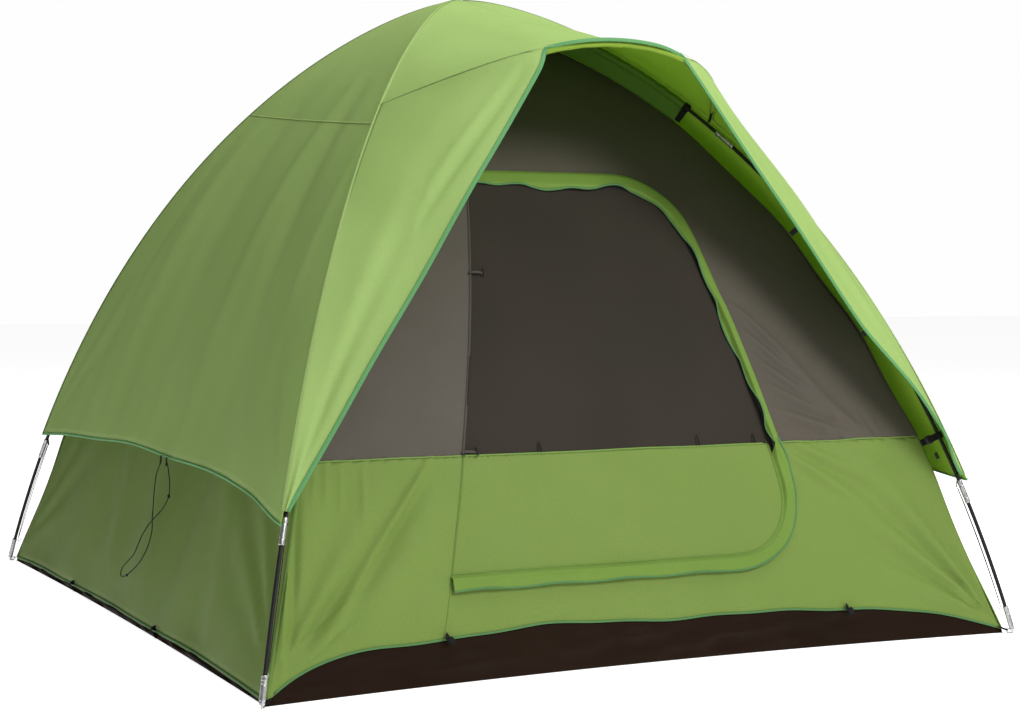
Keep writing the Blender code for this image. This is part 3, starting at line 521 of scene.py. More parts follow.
def rib(share, out=0.0):
    """Share of the half span that is left, and the height, moved out along the curve's normal.

    left = 1 - lean s - belly s^2 - (1 - lean - belly) s^3, and height is a cubic, level at the crossing.
    """
    rest = 1 - POLE_LEAN - POLE_BELLY
    left = 1 - POLE_LEAN * share - POLE_BELLY * share**2 - rest * share**3
    slope = -(POLE_LEAN + 2 * POLE_BELLY * share + 3 * rest * share**2) * SPAN
    height = POLE_HEIGHT * (POLE_RISE * share + (3 - 2 * POLE_RISE) * share**2 + (POLE_RISE - 2) * share**3)
    climb = POLE_HEIGHT * (POLE_RISE + 2 * (3 - 2 * POLE_RISE) * share + 3 * (POLE_RISE - 2) * share**2)
    length = np.hypot(slope, climb)
    return left + out * climb / length / SPAN, height - out * slope / length


def rib_point(hand, face, share, out=0.0):
    """Points on the leg that stands at (hand, face), each -1 or 1."""
    left, height = rib(np.asarray(share, float), out)
    return np.stack([hand * left * HALF_WIDTH, face * left * HALF_DEPTH, height], -1)


CORNERS = {"front_left": (-1, -1), "front_right": (1, -1), "back_left": (-1, 1), "back_right": (1, 1)}
POLE_DIAMETER, FERRULE_DIAMETER, FERRULE_LENGTH = 0.011, 0.015, 0.070
END_SECTION, MAIN_SECTIONS = 0.470, 9
TOUCH_GAP = 0.0004
TIP_START, TIP_LENGTH, TIP_DIAMETER = 0.012, 0.070, 0.016
CROSSING_REACH = 0.17


def pole_line(pole, count=1201):
    """A whole main pole, foot to foot; the two poles bend apart by one diameter where they cross."""
    travel = np.linspace(0, 2, count)
    share = np.where(travel <= 1, travel, 2 - travel)
    side = np.where(travel <= 1, 1.0, -1.0)
    start = (-1, -1) if pole == "a" else (-1, 1)
    left, height = rib(share)
    lift = (-0.5 if pole == "a" else 0.5) * (POLE_DIAMETER + TOUCH_GAP)
    height = height + lift * np.maximum(0, 1 - ((1 - share) / CROSSING_REACH) ** 2)
    return np.stack([start[0] * side * left * HALF_WIDTH, start[1] * side * left * HALF_DEPTH, height], -1)


def put_section(name, line, start, end, radius, ferrule_radius, ferrule):
    """One pole section: a rod, and a steel ferrule with a rolled edge and two crimps at one end."""
    pieces = []
    spans = {0: [(start, end)], 1: [(start, end - FERRULE_LENGTH)],
             -1: [(start + FERRULE_LENGTH, end)]}[ferrule]
    for low, high in spans:
        walk = even_walk(line, 60, low, high)
        pieces.append(rod(name, walk, radius, fibreglass, sides=20, slot="fibreglass"))
    if ferrule:
        low, high = (end - FERRULE_LENGTH, end) if ferrule > 0 else (start, start + FERRULE_LENGTH)
        walk = even_walk(line, 57, low, high)
        at = np.linspace(0, 1, 57)
        rim = 1 - 0.12 * np.exp(-np.minimum(at, 1 - at) / 0.015)
        crimp = 1 - 0.10 * (np.exp(-((at - 0.22) / 0.025) ** 2) + np.exp(-((at - 0.78) / 0.025) ** 2))
        pieces.append(rod(f"{name}_ferrule", walk, ferrule_radius, steel, sides=24, slot="steel",
                          scale=rim * crimp))
    return pieces


# %% Main poles
pole_lines = {pole: pole_line(pole) for pole in "ab"}
for pole, line in pole_lines.items():
    whole = steps_along(line)[-1]
    foot = TIP_START + TIP_LENGTH + TOUCH_GAP
    middle = (whole - 2 * END_SECTION) / (MAIN_SECTIONS - 2)
    marks = [foot] + [END_SECTION + middle * k for k in range(MAIN_SECTIONS - 1)] + [whole - foot]
    for k in range(MAIN_SECTIONS):
        ferrule = int(np.sign(MAIN_SECTIONS // 2 - k))
        made = put_section(f"rod_{pole}_{k + 1}", line, marks[k] + (TOUCH_GAP if k else 0), marks[k + 1],
                           POLE_DIAMETER / 2, FERRULE_DIAMETER / 2, ferrule)
        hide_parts(f"main_pole_{pole}_section_{k + 1}")
    print("main pole", pole, round(whole, 3), "m")

# %% Brow pole
BROW_FOOT, BROW_FORWARD, BROW_RISE = 0.4875, 0.396, 0.176
BROW_DIAMETER, BROW_FERRULE_DIAMETER, BROW_SECTIONS = 0.009, 0.012, 3
BROW_CLEARANCE = POLE_DIAMETER / 2 + BROW_DIAMETER / 2 + 0.004


def brow_arch(across, foot, forward, rise):
    """The brow pole's arch. Forward falls off as 1 - |across|^3, and the rise is a parabola."""
    across = np.asarray(across, float)
    return np.stack([across * foot[0], foot[1] - forward * (1 - np.abs(across) ** 3),
                     foot[2] + rise * (1 - across**2)], -1)


brow_foot = rib_point(1, -1, BROW_FOOT)
reach = 1 - BROW_CLEARANCE / abs(brow_foot[0])
brow_line = brow_arch(reach * np.linspace(-1, 1, 801), brow_foot, BROW_FORWARD, BROW_RISE)
brow_part = steps_along(brow_line)[-1] / BROW_SECTIONS
for k in range(BROW_SECTIONS):
    start = k * brow_part + (TOUCH_GAP if k else 0)
    made = put_section(f"brow_rod_{k + 1}", brow_line, start, (k + 1) * brow_part, BROW_DIAMETER / 2,
                       BROW_FERRULE_DIAMETER / 2, 1 - k)
    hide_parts(f"brow_pole_section_{k + 1}")
print("brow pole", round(3 * brow_part, 3), "m")

# %% Pole tips and corner pins
PIN_DIAMETER, PIN_DEPTH, PIN_FOOT = 0.005, 0.034, 0.018


def put_foot(name, hand, face):
    """Turned steel tip with a stepped shoulder and a beaded mouth, and the bent pin that stands in it."""
    foot = rib_point(hand, face, 0.0)
    up = unit(rib_point(hand, face, 1e-3) - foot)
    at = np.linspace(0, 1, 73)
    walk = foot + up * (TIP_START + TIP_LENGTH * at)[:, None]
    bead = 0.10 * np.exp(-((at - 0.06) / 0.03) ** 2) + 0.07 * np.exp(-((at - 0.97) / 0.02) ** 2)
    shoulder = 0.86 + 0.12 / (1 + np.exp(-(at - 0.12) / 0.012))
    crimps = 0.07 * (np.exp(-((at - 0.68) / 0.022) ** 2) + np.exp(-((at - 0.80) / 0.022) ** 2))
    tip = rod(f"steel_tip_{name}", walk, TIP_DIAMETER / 2, steel, (hand, -face, 0), 28, slot="steel",
              scale=shoulder + bead - crimps)
    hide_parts(f"pole_tip_{name}")
    inward = unit(np.array([-hand * HALF_WIDTH, -face * HALF_DEPTH, 0.0]))
    elbow = foot + up * ((PIN_DIAMETER / 2 + 0.001) / up[2])
    bend = 0.009
    t = np.linspace(0, 1, 16)[:, None]
    turn = (1 - t) ** 2 * (elbow + up * bend) + 2 * t * (1 - t) * elbow + t**2 * (elbow + inward * bend)
    run = np.concatenate([[elbow + up * (PIN_DEPTH + 0.004)], turn, [elbow + inward * PIN_FOOT]])
    pin = rod(f"steel_pin_{name}", even_walk(run, 40), PIN_DIAMETER / 2, steel, (hand, -face, 0), 14,
              slot="steel")
    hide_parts(f"corner_pin_{name}")
    return foot, up, inward


feet = {name: put_foot(name, *corner) for name, corner in CORNERS.items()}
print("feet", len(feet))

# %% [markdown]
# ## Folds in cloth
# A sheet on poles is pulled along some lines and slack beside them. A pull shows as a long soft fold, a
# slack edge as a ripple, and a pinned corner as a fan of folds that widen away from the pin. Each is a
# height above the smooth sheet, worked out on the cloth's flat coordinates, and the heights are added up
# along the sheet's normal.

# %% Fold helpers
def fold(plane, start, end, width, height, flare=1.0):
    """Long fold from start to end: a bell curve across it, wider by flare at its end, fading at both ends."""
    start, along = np.array(start, float), np.array(end, float) - np.array(start, float)
    length = np.hypot(*along)
    t = (plane - start) @ along / length**2
    away = ((plane[..., 0] - start[0]) * along[1] - (plane[..., 1] - start[1]) * along[0]) / length
    inside = np.clip(t, 0, 1)
    fade = np.sin(np.pi * inside) ** 0.7
    return height * fade * np.exp(-(away / (width * (1 + (flare - 1) * inside))) ** 2)


def fan(plane, pin, facing, spread, waves, reach, height):
    """Folds that radiate from a pin: a wave round the pin inside a wedge, rising and dying with distance."""
    away = plane - np.array(pin, float)
    distance = np.hypot(away[..., 0], away[..., 1])
    turn = np.arctan2(away[..., 1], away[..., 0]) - math.radians(facing)
    turn = (turn + np.pi) % (2 * np.pi) - np.pi
    wedge = np.exp(-(turn / math.radians(spread)) ** 2)
    near = distance / reach
    return height * wedge * near * np.exp(1 - near) * np.sin(waves * turn + 1.3 * np.sin(5 * turn))


def ripple(plane, wavelength, height, seed):
    """Soft uneven ripple: fourteen plane waves of nearly one wavelength in chance directions."""
    chance = np.random.default_rng(seed)
    turn = chance.uniform(0, 2 * np.pi, 14)
    pace = 2 * np.pi / (wavelength * chance.uniform(0.7, 1.6, 14))
    phase = chance.uniform(0, 2 * np.pi, 14)
    u, v = plane[..., 0, None], plane[..., 1, None]
    waves = np.cos(u * pace * np.cos(turn) + v * pace * np.sin(turn) + phase)
    return height * waves.sum(-1) / math.sqrt(7)


def sheet_normals(points):
    """Unit normals of a grid, away from the tent's middle."""
    across = np.gradient(points, axis=1)
    along = np.gradient(points, axis=0)
    normal = unit(np.cross(across, along))
    out = np.sum(normal * (points - np.array([0, 0, 0.6])))
    return normal if out > 0 else -normal


def flat_size(points):
    """Area of a grid of points: half the length of the cross product of each cell's diagonals."""
    first = points[1:, 1:] - points[:-1, :-1]
    second = points[1:, :-1] - points[:-1, 1:]
    return float(np.linalg.norm(np.cross(first, second), axis=-1).sum() / 2)


def ease(value, low, high):
    """0 below low, 1 above high and a smooth step between."""
    t = np.clip((np.asarray(value, float) - low) / (high - low), 0, 1)
    return t * t * (3 - 2 * t)


# %% [markdown]
# ## The rain fly
# The fly has four panels that meet in seams over the poles. Left, right and back run straight between their
# legs and sag a little between them. The front panel runs out over the brow pole as a roof, turns a corner
# there, and comes down as two narrow wings. Its free edge is bound with bright tape all the way round the
# opening.

# %% Side and back panels of the fly
SLEEVE_RADIUS = 0.011
FLY_PLAY = 0.0053
FLY_STANDOFF = math.sqrt(2) * (SLEEVE_RADIUS + FLY_PLAY)
FLY_HEM, FLY_HEM_ARCH, FLY_SAG = 0.107, 0.012, 0.012
SIDES = {"front": (0, -1), "back": (0, 1), "left": (-1, 0), "right": (1, 0)}


def panel_grid(side, across, share, out, bow):
    """Dome panel: straight between its legs at each share of the rise, pulled in by bow at its middle."""
    left, height = rib(share, out)
    half_x, half_y = left * HALF_WIDTH, left * HALF_DEPTH
    pull = bow * (1 - across**2)
    height = np.broadcast_to(height, pull.shape)
    if side[0] == 0:
        return np.stack([across * half_x, side[1] * (half_y - pull), height], -1)
    return np.stack([side[0] * (half_x - pull), across * half_y, height], -1)


def flat_plane(points, side):
    """The sheet's flat coordinates: U is the distance along the side, V the length walked up the sheet."""
    up = np.concatenate([np.zeros((1, points.shape[1])),
                         np.cumsum(np.linalg.norm(np.diff(points, axis=0), axis=-1), axis=0)])
    return np.stack([points[..., 0 if side[0] == 0 else 1], up], -1)


HEM_WAVES = {"left": 0.0, "right": 0.6, "back": 1.7}
HEM_DIP = {"left": 0.0085, "right": 0.0040, "back": 0.0030}    # how far the hem dips towards the front corner
FLY_FOLDS = {  # place along the hem, how far it leans in at the top, width, depth
    "left": [(-0.86, 0.80, 0.040, 0.013), (-0.62, 0.55, 0.060, -0.015), (-0.30, 0.80, 0.055, 0.011),
             (0.16, 0.9, 0.10, -0.012), (0.55, 0.72, 0.07, 0.010), (0.86, 0.6, 0.05, -0.008)],
    "right": [(-0.80, 0.7, 0.05, 0.008), (-0.35, 0.8, 0.08, -0.008), (0.20, 0.8, 0.06, 0.007),
              (0.70, 0.6, 0.06, -0.007)],
    "back": [(-0.72, 0.6, 0.05, 0.008), (-0.25, 0.8, 0.08, -0.007), (0.30, 0.7, 0.06, 0.007),
             (0.75, 0.6, 0.05, -0.007)]}


def fly_side(name, columns=150, rows=150):
    """Points and flat coordinates of a side panel: smooth cloth, long folds and a fan at each corner."""
    side = SIDES[name]
    across = np.linspace(-1, 1, columns)[None, :]
    t = np.linspace(0, 1, rows)[:, None]
    hem = FLY_HEM + FLY_HEM_ARCH * (1 - across**2)
    hem = hem + 0.0010 * (1 - across**2) * np.sin(9 * across + HEM_WAVES[name])
    front_end = -1 if side[0] != 0 else 1
    hem = hem - HEM_DIP[name] * np.exp(-((across - front_end) / 0.16) ** 2)
    share = hem + (1.0 - hem) * t
    points = panel_grid(side, across, share, FLY_STANDOFF, FLY_SAG * (1 - share))
    plane = flat_plane(points, side)
    height = ripple(plane * np.array([1.0, 0.35]), 0.50, 0.0034, 11 + len(name)) * (1 - 0.75 * t)
    for place, lean, width, deep in FLY_FOLDS[name]:
        height = height + fold(plane, (place, 0.02), (place * lean, 1.35), width, deep)
    height = height + 0.0035 * np.exp(-t / 0.05) * np.sin(38 * across + 4 * np.sin(3 * across))
    corner = float(rib(FLY_HEM, FLY_STANDOFF)[0]) * (HALF_WIDTH if side[0] == 0 else HALF_DEPTH)
    for hand in (-1, 1):
        height = height + fan(plane, (hand * corner, 0.0), 90 + hand * 38, 24, 15, 0.40, 0.0045)
    loose = (1 - across**2) ** 0.5 * ease(t, -0.02, 0.02)
    return points + (height * loose)[..., None] * sheet_normals(points), plane


fly_panels = {}
for name in ("left", "right", "back"):
    points, plane = fly_side(name)
    fly_panels[name] = points
    piece = put_sheet(f"fly_panel_{name}", points, plane, [fly_cloth, fly_inside_with_painted_light], slot="fly_cloth")
    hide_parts(f"fly_{name}")

# %% Shape of the front panel
VISOR_CORNER, VISOR_CROWN, WING_TAB = 0.202, -0.022, 0.012


def crease(hand, share):
    """The fly's seam over a front leg."""
    return rib_point(hand, -1, share, FLY_STANDOFF)


def fly_brow(across):
    """The fly's edge over the brow pole, from one crease to the other."""
    foot, bare = crease(1, BROW_FOOT), rib_point(1, -1, BROW_FOOT)
    margin = BROW_FERRULE_DIAMETER / 2 + FLY_PLAY
    forward = BROW_FORWARD + foot[1] - bare[1] + margin
    return brow_arch(across, foot, forward, BROW_RISE + bare[2] - foot[2] + margin)


corner_across = VISOR_CORNER / crease(1, BROW_FOOT)[0]


def fly_roof(across, out):
    """Roof: a straight run from the crease out to the brow's arch, sagging a little in the middle."""
    share = BROW_FOOT + (1 - BROW_FOOT) * (1 - np.abs(across))
    left, height = rib(share, FLY_STANDOFF)
    start = np.stack([np.sign(across) * left * HALF_WIDTH, -left * HALF_DEPTH, height], -1)
    points = start + (fly_brow(across) - start) * out[..., None]
    points[..., 2] += VISOR_CROWN * 4 * out * (1 - out) * (1 - across**2)
    return points


def fly_wing(hand, fall, step):
    """Wing: from the crease to a free edge that drops from the visor's corner to the tab at the hem."""
    beak, top = fly_brow(hand * corner_across), crease(hand, BROW_FOOT)
    tab = crease(hand, FLY_HEM) + np.array([-hand * WING_TAB, 0, -0.002])
    seam = crease(hand, BROW_FOOT + (FLY_HEM - BROW_FOOT) * fall)
    edge = beak + (tab - beak) * fall[..., None]
    arch = fly_brow(hand * (1 - (1 - corner_across) * step)) - (top + (beak - top) * step[..., None])
    return seam + (edge - seam) * step[..., None] + arch * ((1 - fall) ** 3)[..., None]


def round_corner(points, hand, radius=0.050, pull=0.020):
    """Draws the cloth in near the visor's corner, so the free edge turns it in a curve."""
    beak, top = fly_brow(hand * corner_across), crease(hand, BROW_FOOT)
    near = np.exp(-np.sum((points - beak) ** 2, -1) / radius**2)
    return points + pull * near[..., None] * unit(top - beak)


# %% Front panel with its visor
WING_FOLDS = (  # start and end as (share of the wing's width, share of its fall), width, height
    ((0.82, 0.03), (0.60, 0.34), 0.050, 0.006), ((0.35, 0.10), (0.45, 0.75), 0.14, 0.008),
    ((0.62, 0.35), (0.50, 0.95), 0.12, -0.006))


def roof_grid():
    """The roof's points and flat coordinates, with a soft ripple that dies at the seams."""
    roof_across = np.concatenate([np.linspace(-1, -corner_across, 61)[:-1],
                                  np.linspace(-corner_across, corner_across, 41),
                                  np.linspace(corner_across, 1, 61)[1:]])
    across, out = np.meshgrid(roof_across, np.linspace(0, 1, 61))
    roof = fly_roof(across, out)
    plane = roof[..., :2]
    lift = ripple(plane, 0.42, 0.0022, 5) * np.sin(np.pi * out) ** 0.5
    lift = lift + ripple(plane * np.array([1.0, 0.3]), 0.16, 0.0009, 6) * out * (1 - out) * 4
    roof = roof + (lift * (1 - np.abs(across) ** 6))[..., None] * sheet_normals(roof)
    flat = np.stack([across * crease(1, BROW_FOOT)[0], 0.6 + 0.7 * (1 - out)], -1)
    return round_corner(round_corner(roof, -1), 1), flat


def wing_grid(hand):
    """A wing's points and flat coordinates; the right wing's free edge also curls in half-way down."""
    fall, step = np.meshgrid(np.linspace(0, 1, 141), np.linspace(0, 1, 61), indexing="ij")
    wing = round_corner(fly_wing(hand, fall, step), hand)
    flat = np.stack([step, fall], -1)
    height = fold(flat, (0.90, 0.015), (0.68, 0.42), 0.055, -0.012) * ease(fall, 0.0, 0.05)
    for start, end, width, deep in WING_FOLDS:
        height = height + fold(flat, start, end, width, deep)
    height = height + ripple(flat * np.array([0.5, 1.1]), 0.30, 0.0022, 8 + hand)
    pinch = np.exp(-((step - 0.93) / 0.07) ** 2 - (fall / 0.018) ** 2)
    height = height + 0.006 * pinch * np.sin(step * 160)
    loose = np.sin(np.pi * np.clip(step, 0, 1)) ** 0.6 * ease(fall, -0.01, 0.04)
    wing = wing + (height * loose)[..., None] * sheet_normals(wing)
    wing[..., 0] += 0.0022 * np.sin(fall * 17 + hand) * step**3 * np.sin(np.pi * fall)
    if hand > 0:
        curl = ease(fall, 0.62, 0.82) * (1 - ease(fall, 0.88, 1.0)) * step**1.5
        wing += curl[..., None] * np.array([0.016, -0.034, 0.0])
    return wing, np.stack([hand * (0.25 + 0.4 * step), 0.6 - 1.4 * fall], -1)


def put_front_fly():
    """Roof and both wings as one sheet: three grids whose shared points are merged."""
    parts = [roof_grid(), wing_grid(-1), wing_grid(1)]
    points, quads, flats, base = [], [], [], 0
    for grid, flat in parts:
        cell = facing_out(grid, cells(*grid.shape[:2]))
        points.append(grid.reshape(-1, 3))
        flats.append(flat.reshape(-1, 2)[cell.ravel()])
        quads.append(cell + base)
        base += grid.shape[0] * grid.shape[1]
    piece = put("fly_panel_front", np.concatenate(points), np.concatenate(quads).tolist(),
                np.concatenate(flats), [fly_cloth, fly_inside_with_painted_light], slot="fly_cloth")
    merge_points(piece, 2e-5)
    thicken(piece, inner_slot=1)
    return piece, [grid for grid, flat in parts]


def merge_points(piece, distance):
    """Joins points that meet and removes the slivers that are left."""
    bm = bmesh.new()
    bm.from_mesh(piece.data)
    bmesh.ops.remove_doubles(bm, verts=bm.verts, dist=distance)
    bmesh.ops.dissolve_degenerate(bm, dist=distance, edges=bm.edges)
    bm.to_mesh(piece.data)
    bm.free()
    piece.data.update()


front_fly, front_grids = put_front_fly()
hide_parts("fly_front_visor")

# %% [markdown]
# ## Binding tape and seams
# A raw edge frays, so it is folded into a narrow tape that shows as a bright line. Where two panels meet,
# the cloth is folded over itself and stitched: a flat ridge about a centimetre wide. Both are profiles
# carried along lines that the panels already have, so they always lie on the cloth.

# %% Tape and seam helpers
def put_tape(name, path, outward, width, thickness, material, body="tent", slot=None, lift=0.0, blend=None):
    """Flat tape along a path, its face towards outward."""
    along = tangents(path)
    outward = np.broadcast_to(np.asarray(outward, float), path.shape)
    across = unit(np.cross(along, outward))
    normal = np.cross(across, along)
    swept = carry(path + lift * normal, across, normal, strap_profile(width, thickness))
    piece = put(name, *swept, [material], None if blend else body, slot)
    if blend:
        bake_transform(piece)
    return piece


# %% Tapes and seams on the fly
UNDER_THE_FLY = np.array([0, 0, 0.9])      # tapes on the fly face away from this point
roof_edge = front_grids[0][-1, 60:101]
visor_edge = np.concatenate([front_grids[1][::-1, -1], roof_edge[1:-1], front_grids[2][:, -1]])
visor_edge = even_walk(visor_edge, 420)
put_tape("binding_visor", visor_edge, unit(visor_edge - np.array([0, 0.2, 0.9])), 0.012, 0.0045, binding,
         slot="fly_cloth")
for name, points in fly_panels.items():
    line = even_walk(points[0], 260)
    put_tape(f"binding_hem_{name}", line, unit(line - UNDER_THE_FLY), 0.008, 0.0040, binding,
             slot="fly_cloth")
for name, (hand, face) in CORNERS.items():
    share = np.linspace(FLY_HEM, 0.992, 200)
    line = rib_point(hand, face, share, FLY_STANDOFF + 0.0006)
    outward = rib_point(hand, face, share, 1.0) - rib_point(hand, face, share)
    put_tape(f"seam_over_leg_{name}", line, outward, 0.008, 0.0008, seam_green, slot="fly_cloth")
for name, hand in (("left", -1), ("right", 1)):
    line = even_walk(fly_brow(hand * np.linspace(1.0, corner_across, 60)), 90)
    put_tape(f"seam_brow_{name}", line + np.array([0, -0.0001, 0.0002]), (0, -0.5, 0.9), 0.003, 0.0006,
             seam_green, slot="fly_cloth")
SEAM_LEVEL, SEAM_SLANT = 1.508, 0.0555     # height of the left panel's cross seam, and its rise to each end
left_panel = fly_panels["left"]
levels = SEAM_LEVEL + SEAM_SLANT * np.linspace(-1, 1, left_panel.shape[1])
cross_seam = np.array([[np.interp(level, strip[:, 2], strip[:, axis]) for axis in range(3)]
                       for level, strip in zip(levels, left_panel.swapaxes(0, 1))])
put_tape("seam_across_left", cross_seam, unit(cross_seam - np.array([0, 0, 0.6])), 0.006, 0.0010, seam_green,
         slot="fly_cloth", lift=0.0004)
print("tapes and seams on the fly")

# %% [markdown]
# ## The inner tent's walls
# Each wall hangs about 6 cm inside the poles. Its lower part is green taffeta and its upper part is grey
# breathable cloth, with a level seam between. The front wall has the doorway in it, so its grid is made of
# rays: every ray starts on the doorway's edge and ends on the wall's own edge, and folds can run round the
# opening without a break. The wall is made in one piece and then cut level at the seam, so both cloths
# share every fold.

# %% Wall surface
FABRIC = 0.003           # the frame's cloth, thicker than the real one
CLIP_REACH, FOOT_INSET = 0.060, 0.027
TUB_RIM, TUB_RIM_CORNER, TUB_RIM_SIDE = 0.112, 0.012, 0.021
FLOOR_BOW = {SIDES["front"]: 0.070, SIDES["back"]: 0.040, SIDES["left"]: 0.020, SIDES["right"]: 0.020}
SEAM_HEIGHT = 0.563
FASTENED = (0.02, 0.55, 0.88, 1.19, 1.50, 1.83)  # heights where the corner seam is held to the pole
WALL_LIFT = 0.0012       # the cloth's middle, outside of the wall's inner face


def inner_offset(share):
    """How far the corner lies inside the pole, as a negative: little at the foot, the clips' reach above."""
    return -(FOOT_INSET + (CLIP_REACH - FOOT_INSET) * (1 - (1 - np.minimum(np.asarray(share) / 0.1, 1)) ** 2))


share_table = np.linspace(0, 1, 4001)
left_table, height_table = rib(share_table, inner_offset(share_table))


def wall_share(height):
    """The share of the rise at which the inner corner reaches a height."""
    return np.interp(height, height_table, share_table)


def half_x(height):
    """Half the inner tent's width at a height."""
    return np.interp(height, height_table, left_table) * HALF_WIDTH


def half_y(height):
    """Half the inner tent's depth at a height."""
    return np.interp(height, height_table, left_table) * HALF_DEPTH


def half_along(side, height):
    """Half a wall's length at a height, for the side that faces (x, y)."""
    return half_x(height) if side[0] == 0 else half_y(height)


def wall_surface(side, u, height):
    """Wall at a distance u along its side and a height: as deep as its legs, pulled in at the floor's middle.

    Between two fastenings the corner seam is slack and draws in by up to a centimetre.
    """
    across = np.clip(u / np.maximum(half_along(side, height), 1e-6), -1, 1)
    bow = FLOOR_BOW[side] * (1 - np.minimum(wall_share(height) / 0.06, 1)) ** 2
    out = half_along(side[::-1], height) - bow * (1 - across**2)
    phase = np.interp(height, FASTENED, range(len(FASTENED)))
    slack = 0.010 * np.sin(np.pi * phase) ** 2 * np.abs(across) ** 8 * (height < FASTENED[-2])
    corner = np.array([HALF_WIDTH, HALF_DEPTH]) / SPAN
    u = u - np.sign(across) * slack * (corner[0] if side[0] == 0 else corner[1])
    out = out - slack * (corner[1] if side[0] == 0 else corner[0])
    if side[0] == 0:
        return np.stack([u, side[1] * out, height], -1)
    return np.stack([side[0] * out, u, height], -1)


# %% Wall normals and the hem's height
def wall_normals(side, u, height):
    """Outward normals: the cross product of a small step along the wall and a small step up."""
    step = 1e-3
    run = wall_surface(side, u + step, height) - wall_surface(side, u - step, height)
    rise = wall_surface(side, u, height + step) - wall_surface(side, u, height - step)
    normal = unit(np.cross(run, rise))
    facing = np.sum(normal[..., :2] * np.array(side, float), axis=-1, keepdims=True)
    return normal * np.sign(facing)


def raised_wall(side, u, height, lift):
    """The wall's surface, moved out along its normals by lift."""
    return wall_surface(side, u, height) + lift[..., None] * wall_normals(side, u, height)


def rim_height(name, across):
    """The groundsheet's edge: high at the front and back, low at the sides and in the corners, and uneven."""
    if name in ("left", "right"):
        drop = (TUB_RIM_SIDE - TUB_RIM_CORNER) * np.abs(across) ** 6
        return TUB_RIM_SIDE - drop + 0.0016 * np.sin(9 * across)
    power = np.where(np.asarray(across) < 0, 10.0, 4.0) if name == "front" else 6.0
    rim = TUB_RIM - (TUB_RIM - TUB_RIM_CORNER) * np.abs(across) ** power
    wave = 0.0030 * np.sin(11 * across + len(name)) + 0.0018 * np.sin(27 * across + 2 * len(name))
    hump = 0.016 * np.exp(-((across + 0.28) / 0.26) ** 2) if name == "front" else 0.0
    return rim + (wave + hump) * (1 - across**4)


# %% Folds in the walls
SIDE_FOLDS = ((-0.8, 0.25, 0.006), (-0.35, -0.2, -0.006), (0.2, 0.22, 0.005), (0.75, -0.25, -0.006))
LEFT_PULLS = (   # folds that run down to the front wall's left foot: start, end, width, height, flare
    ((-0.60, 0.575), (-1.04, 0.05), 0.0095, 0.026, 2.2), ((-0.625, 0.505), (-1.03, 0.09), 0.019, -0.018, 1.8),
    ((-0.63, 0.38), (-0.95, 0.09), 0.028, 0.010, 1.6), ((-1.015, 0.53), (-1.085, 0.06), 0.010, 0.012, 1.0),
    ((-0.980, 0.54), (-1.060, 0.08), 0.012, -0.010, 1.0))
RIGHT_PULLS = (  # folds that run down from the door's right edge: start x, start height, run, drop
    (0.415, 0.96, 0.24, 0.26), (0.425, 0.88, 0.30, 0.25), (0.44, 0.80, 0.34, 0.21), (0.455, 0.73, 0.38, 0.17),
    (0.465, 0.66, 0.40, 0.13), (0.475, 0.585, 0.34, 0.16), (0.485, 0.535, 0.26, 0.17))
HEM_FANS = ((1.11, 138, 26, 19, 0.0120), (-1.11, 48, 24, 17, 0.0060))  # pin, facing, spread, waves, height


def front_folds(plane):
    """The front wall's folds: pulls to both feet and off the door, puckers at the level seam and the hem."""
    u, z = plane[..., 0], plane[..., 1]
    height = sum(fold(plane, *pull) for pull in LEFT_PULLS)
    for x, top, run, drop in RIGHT_PULLS:
        height = height + fold(plane, (x, top), (x + run, top - drop), 0.0090, 0.0100, 2.3)
        beside = (x + 0.02, top - 0.035), (x + run * 0.8, top - drop * 0.9)
        height = height + fold(plane, *beside, 0.0105, -0.0080, 2.0)
    for k, x in enumerate((-0.93, -0.90, -0.86, -0.80)):
        height = height + fold(plane, (x, 0.57), (x - 0.02, 0.46 - 0.02 * k), 0.007, 0.0035)
    for k, x in enumerate((0.66, 0.71, 0.755, 0.80, 0.84)):
        height = height + fold(plane, (x, 0.552), (x - 0.035, 0.64 + 0.01 * (k % 2)), 0.009, 0.0032)
    for pin, facing, spread, waves, high in HEM_FANS:
        height = height + fan(plane, (pin, 0.045), facing, spread, waves, 0.20, high)
    height = height + fold(plane, (-0.35, 0.14), (0.45, 0.19), 0.030, 0.004)
    return height + 0.0022 * np.exp(-((z - 0.15) / 0.05) ** 2) * np.sin(23 * u + 3 * np.sin(4 * u))


def wall_folds(name, plane):
    """Heights of the folds over the smooth wall, on (distance along the side, height above the ground)."""
    height = ripple(plane * np.array([1.0, 0.6]), 0.46, 0.0026, 20 + len(name))
    if name == "front":
        return height + front_folds(plane)
    for place, lean, deep in SIDE_FOLDS:
        height = height + fold(plane, (place, 0.05), (place + lean, 0.85), 0.05, deep)
    for hand in (-1, 1):
        pin = (hand * half_along(SIDES[name], 0.05), 0.05)
        height = height + fan(plane, pin, 90 + hand * 45, 26, 17, 0.22, 0.0050)
    return height


def wall_bumps(name, u, height):
    """The wall's folds, faded out towards the crown and towards the groundsheet's edge, where it is sewn."""
    reach = half_along(SIDES[name], height)
    over_hem = height - rim_height(name, np.clip(u / np.maximum(reach, 1e-6), -1, 1))
    return wall_folds(name, np.stack([u, height], -1)) * ease(reach, 0.0, 0.25) * ease(over_hem, 0.0, 0.045)


def wall_cloth_points(name, u, height, lift=WALL_LIFT):
    """Points of the wall's cloth, lift above the smooth surface plus the folds."""
    side = SIDES[name]
    return raised_wall(side, u, height, lift + wall_bumps(name, u, height))


print("wall surface ready, its hem", round(float(rim_height("front", 0.0)), 3), "m high at the door")

# %% The door's outline
DOOR_CORNERS = np.array([(-0.600, 0.255), (0.508, 0.255), (0.311, 1.295), (-0.324, 1.295)])
DOOR_CORNER_RADIUS = 0.185
ARC_STEPS = 24


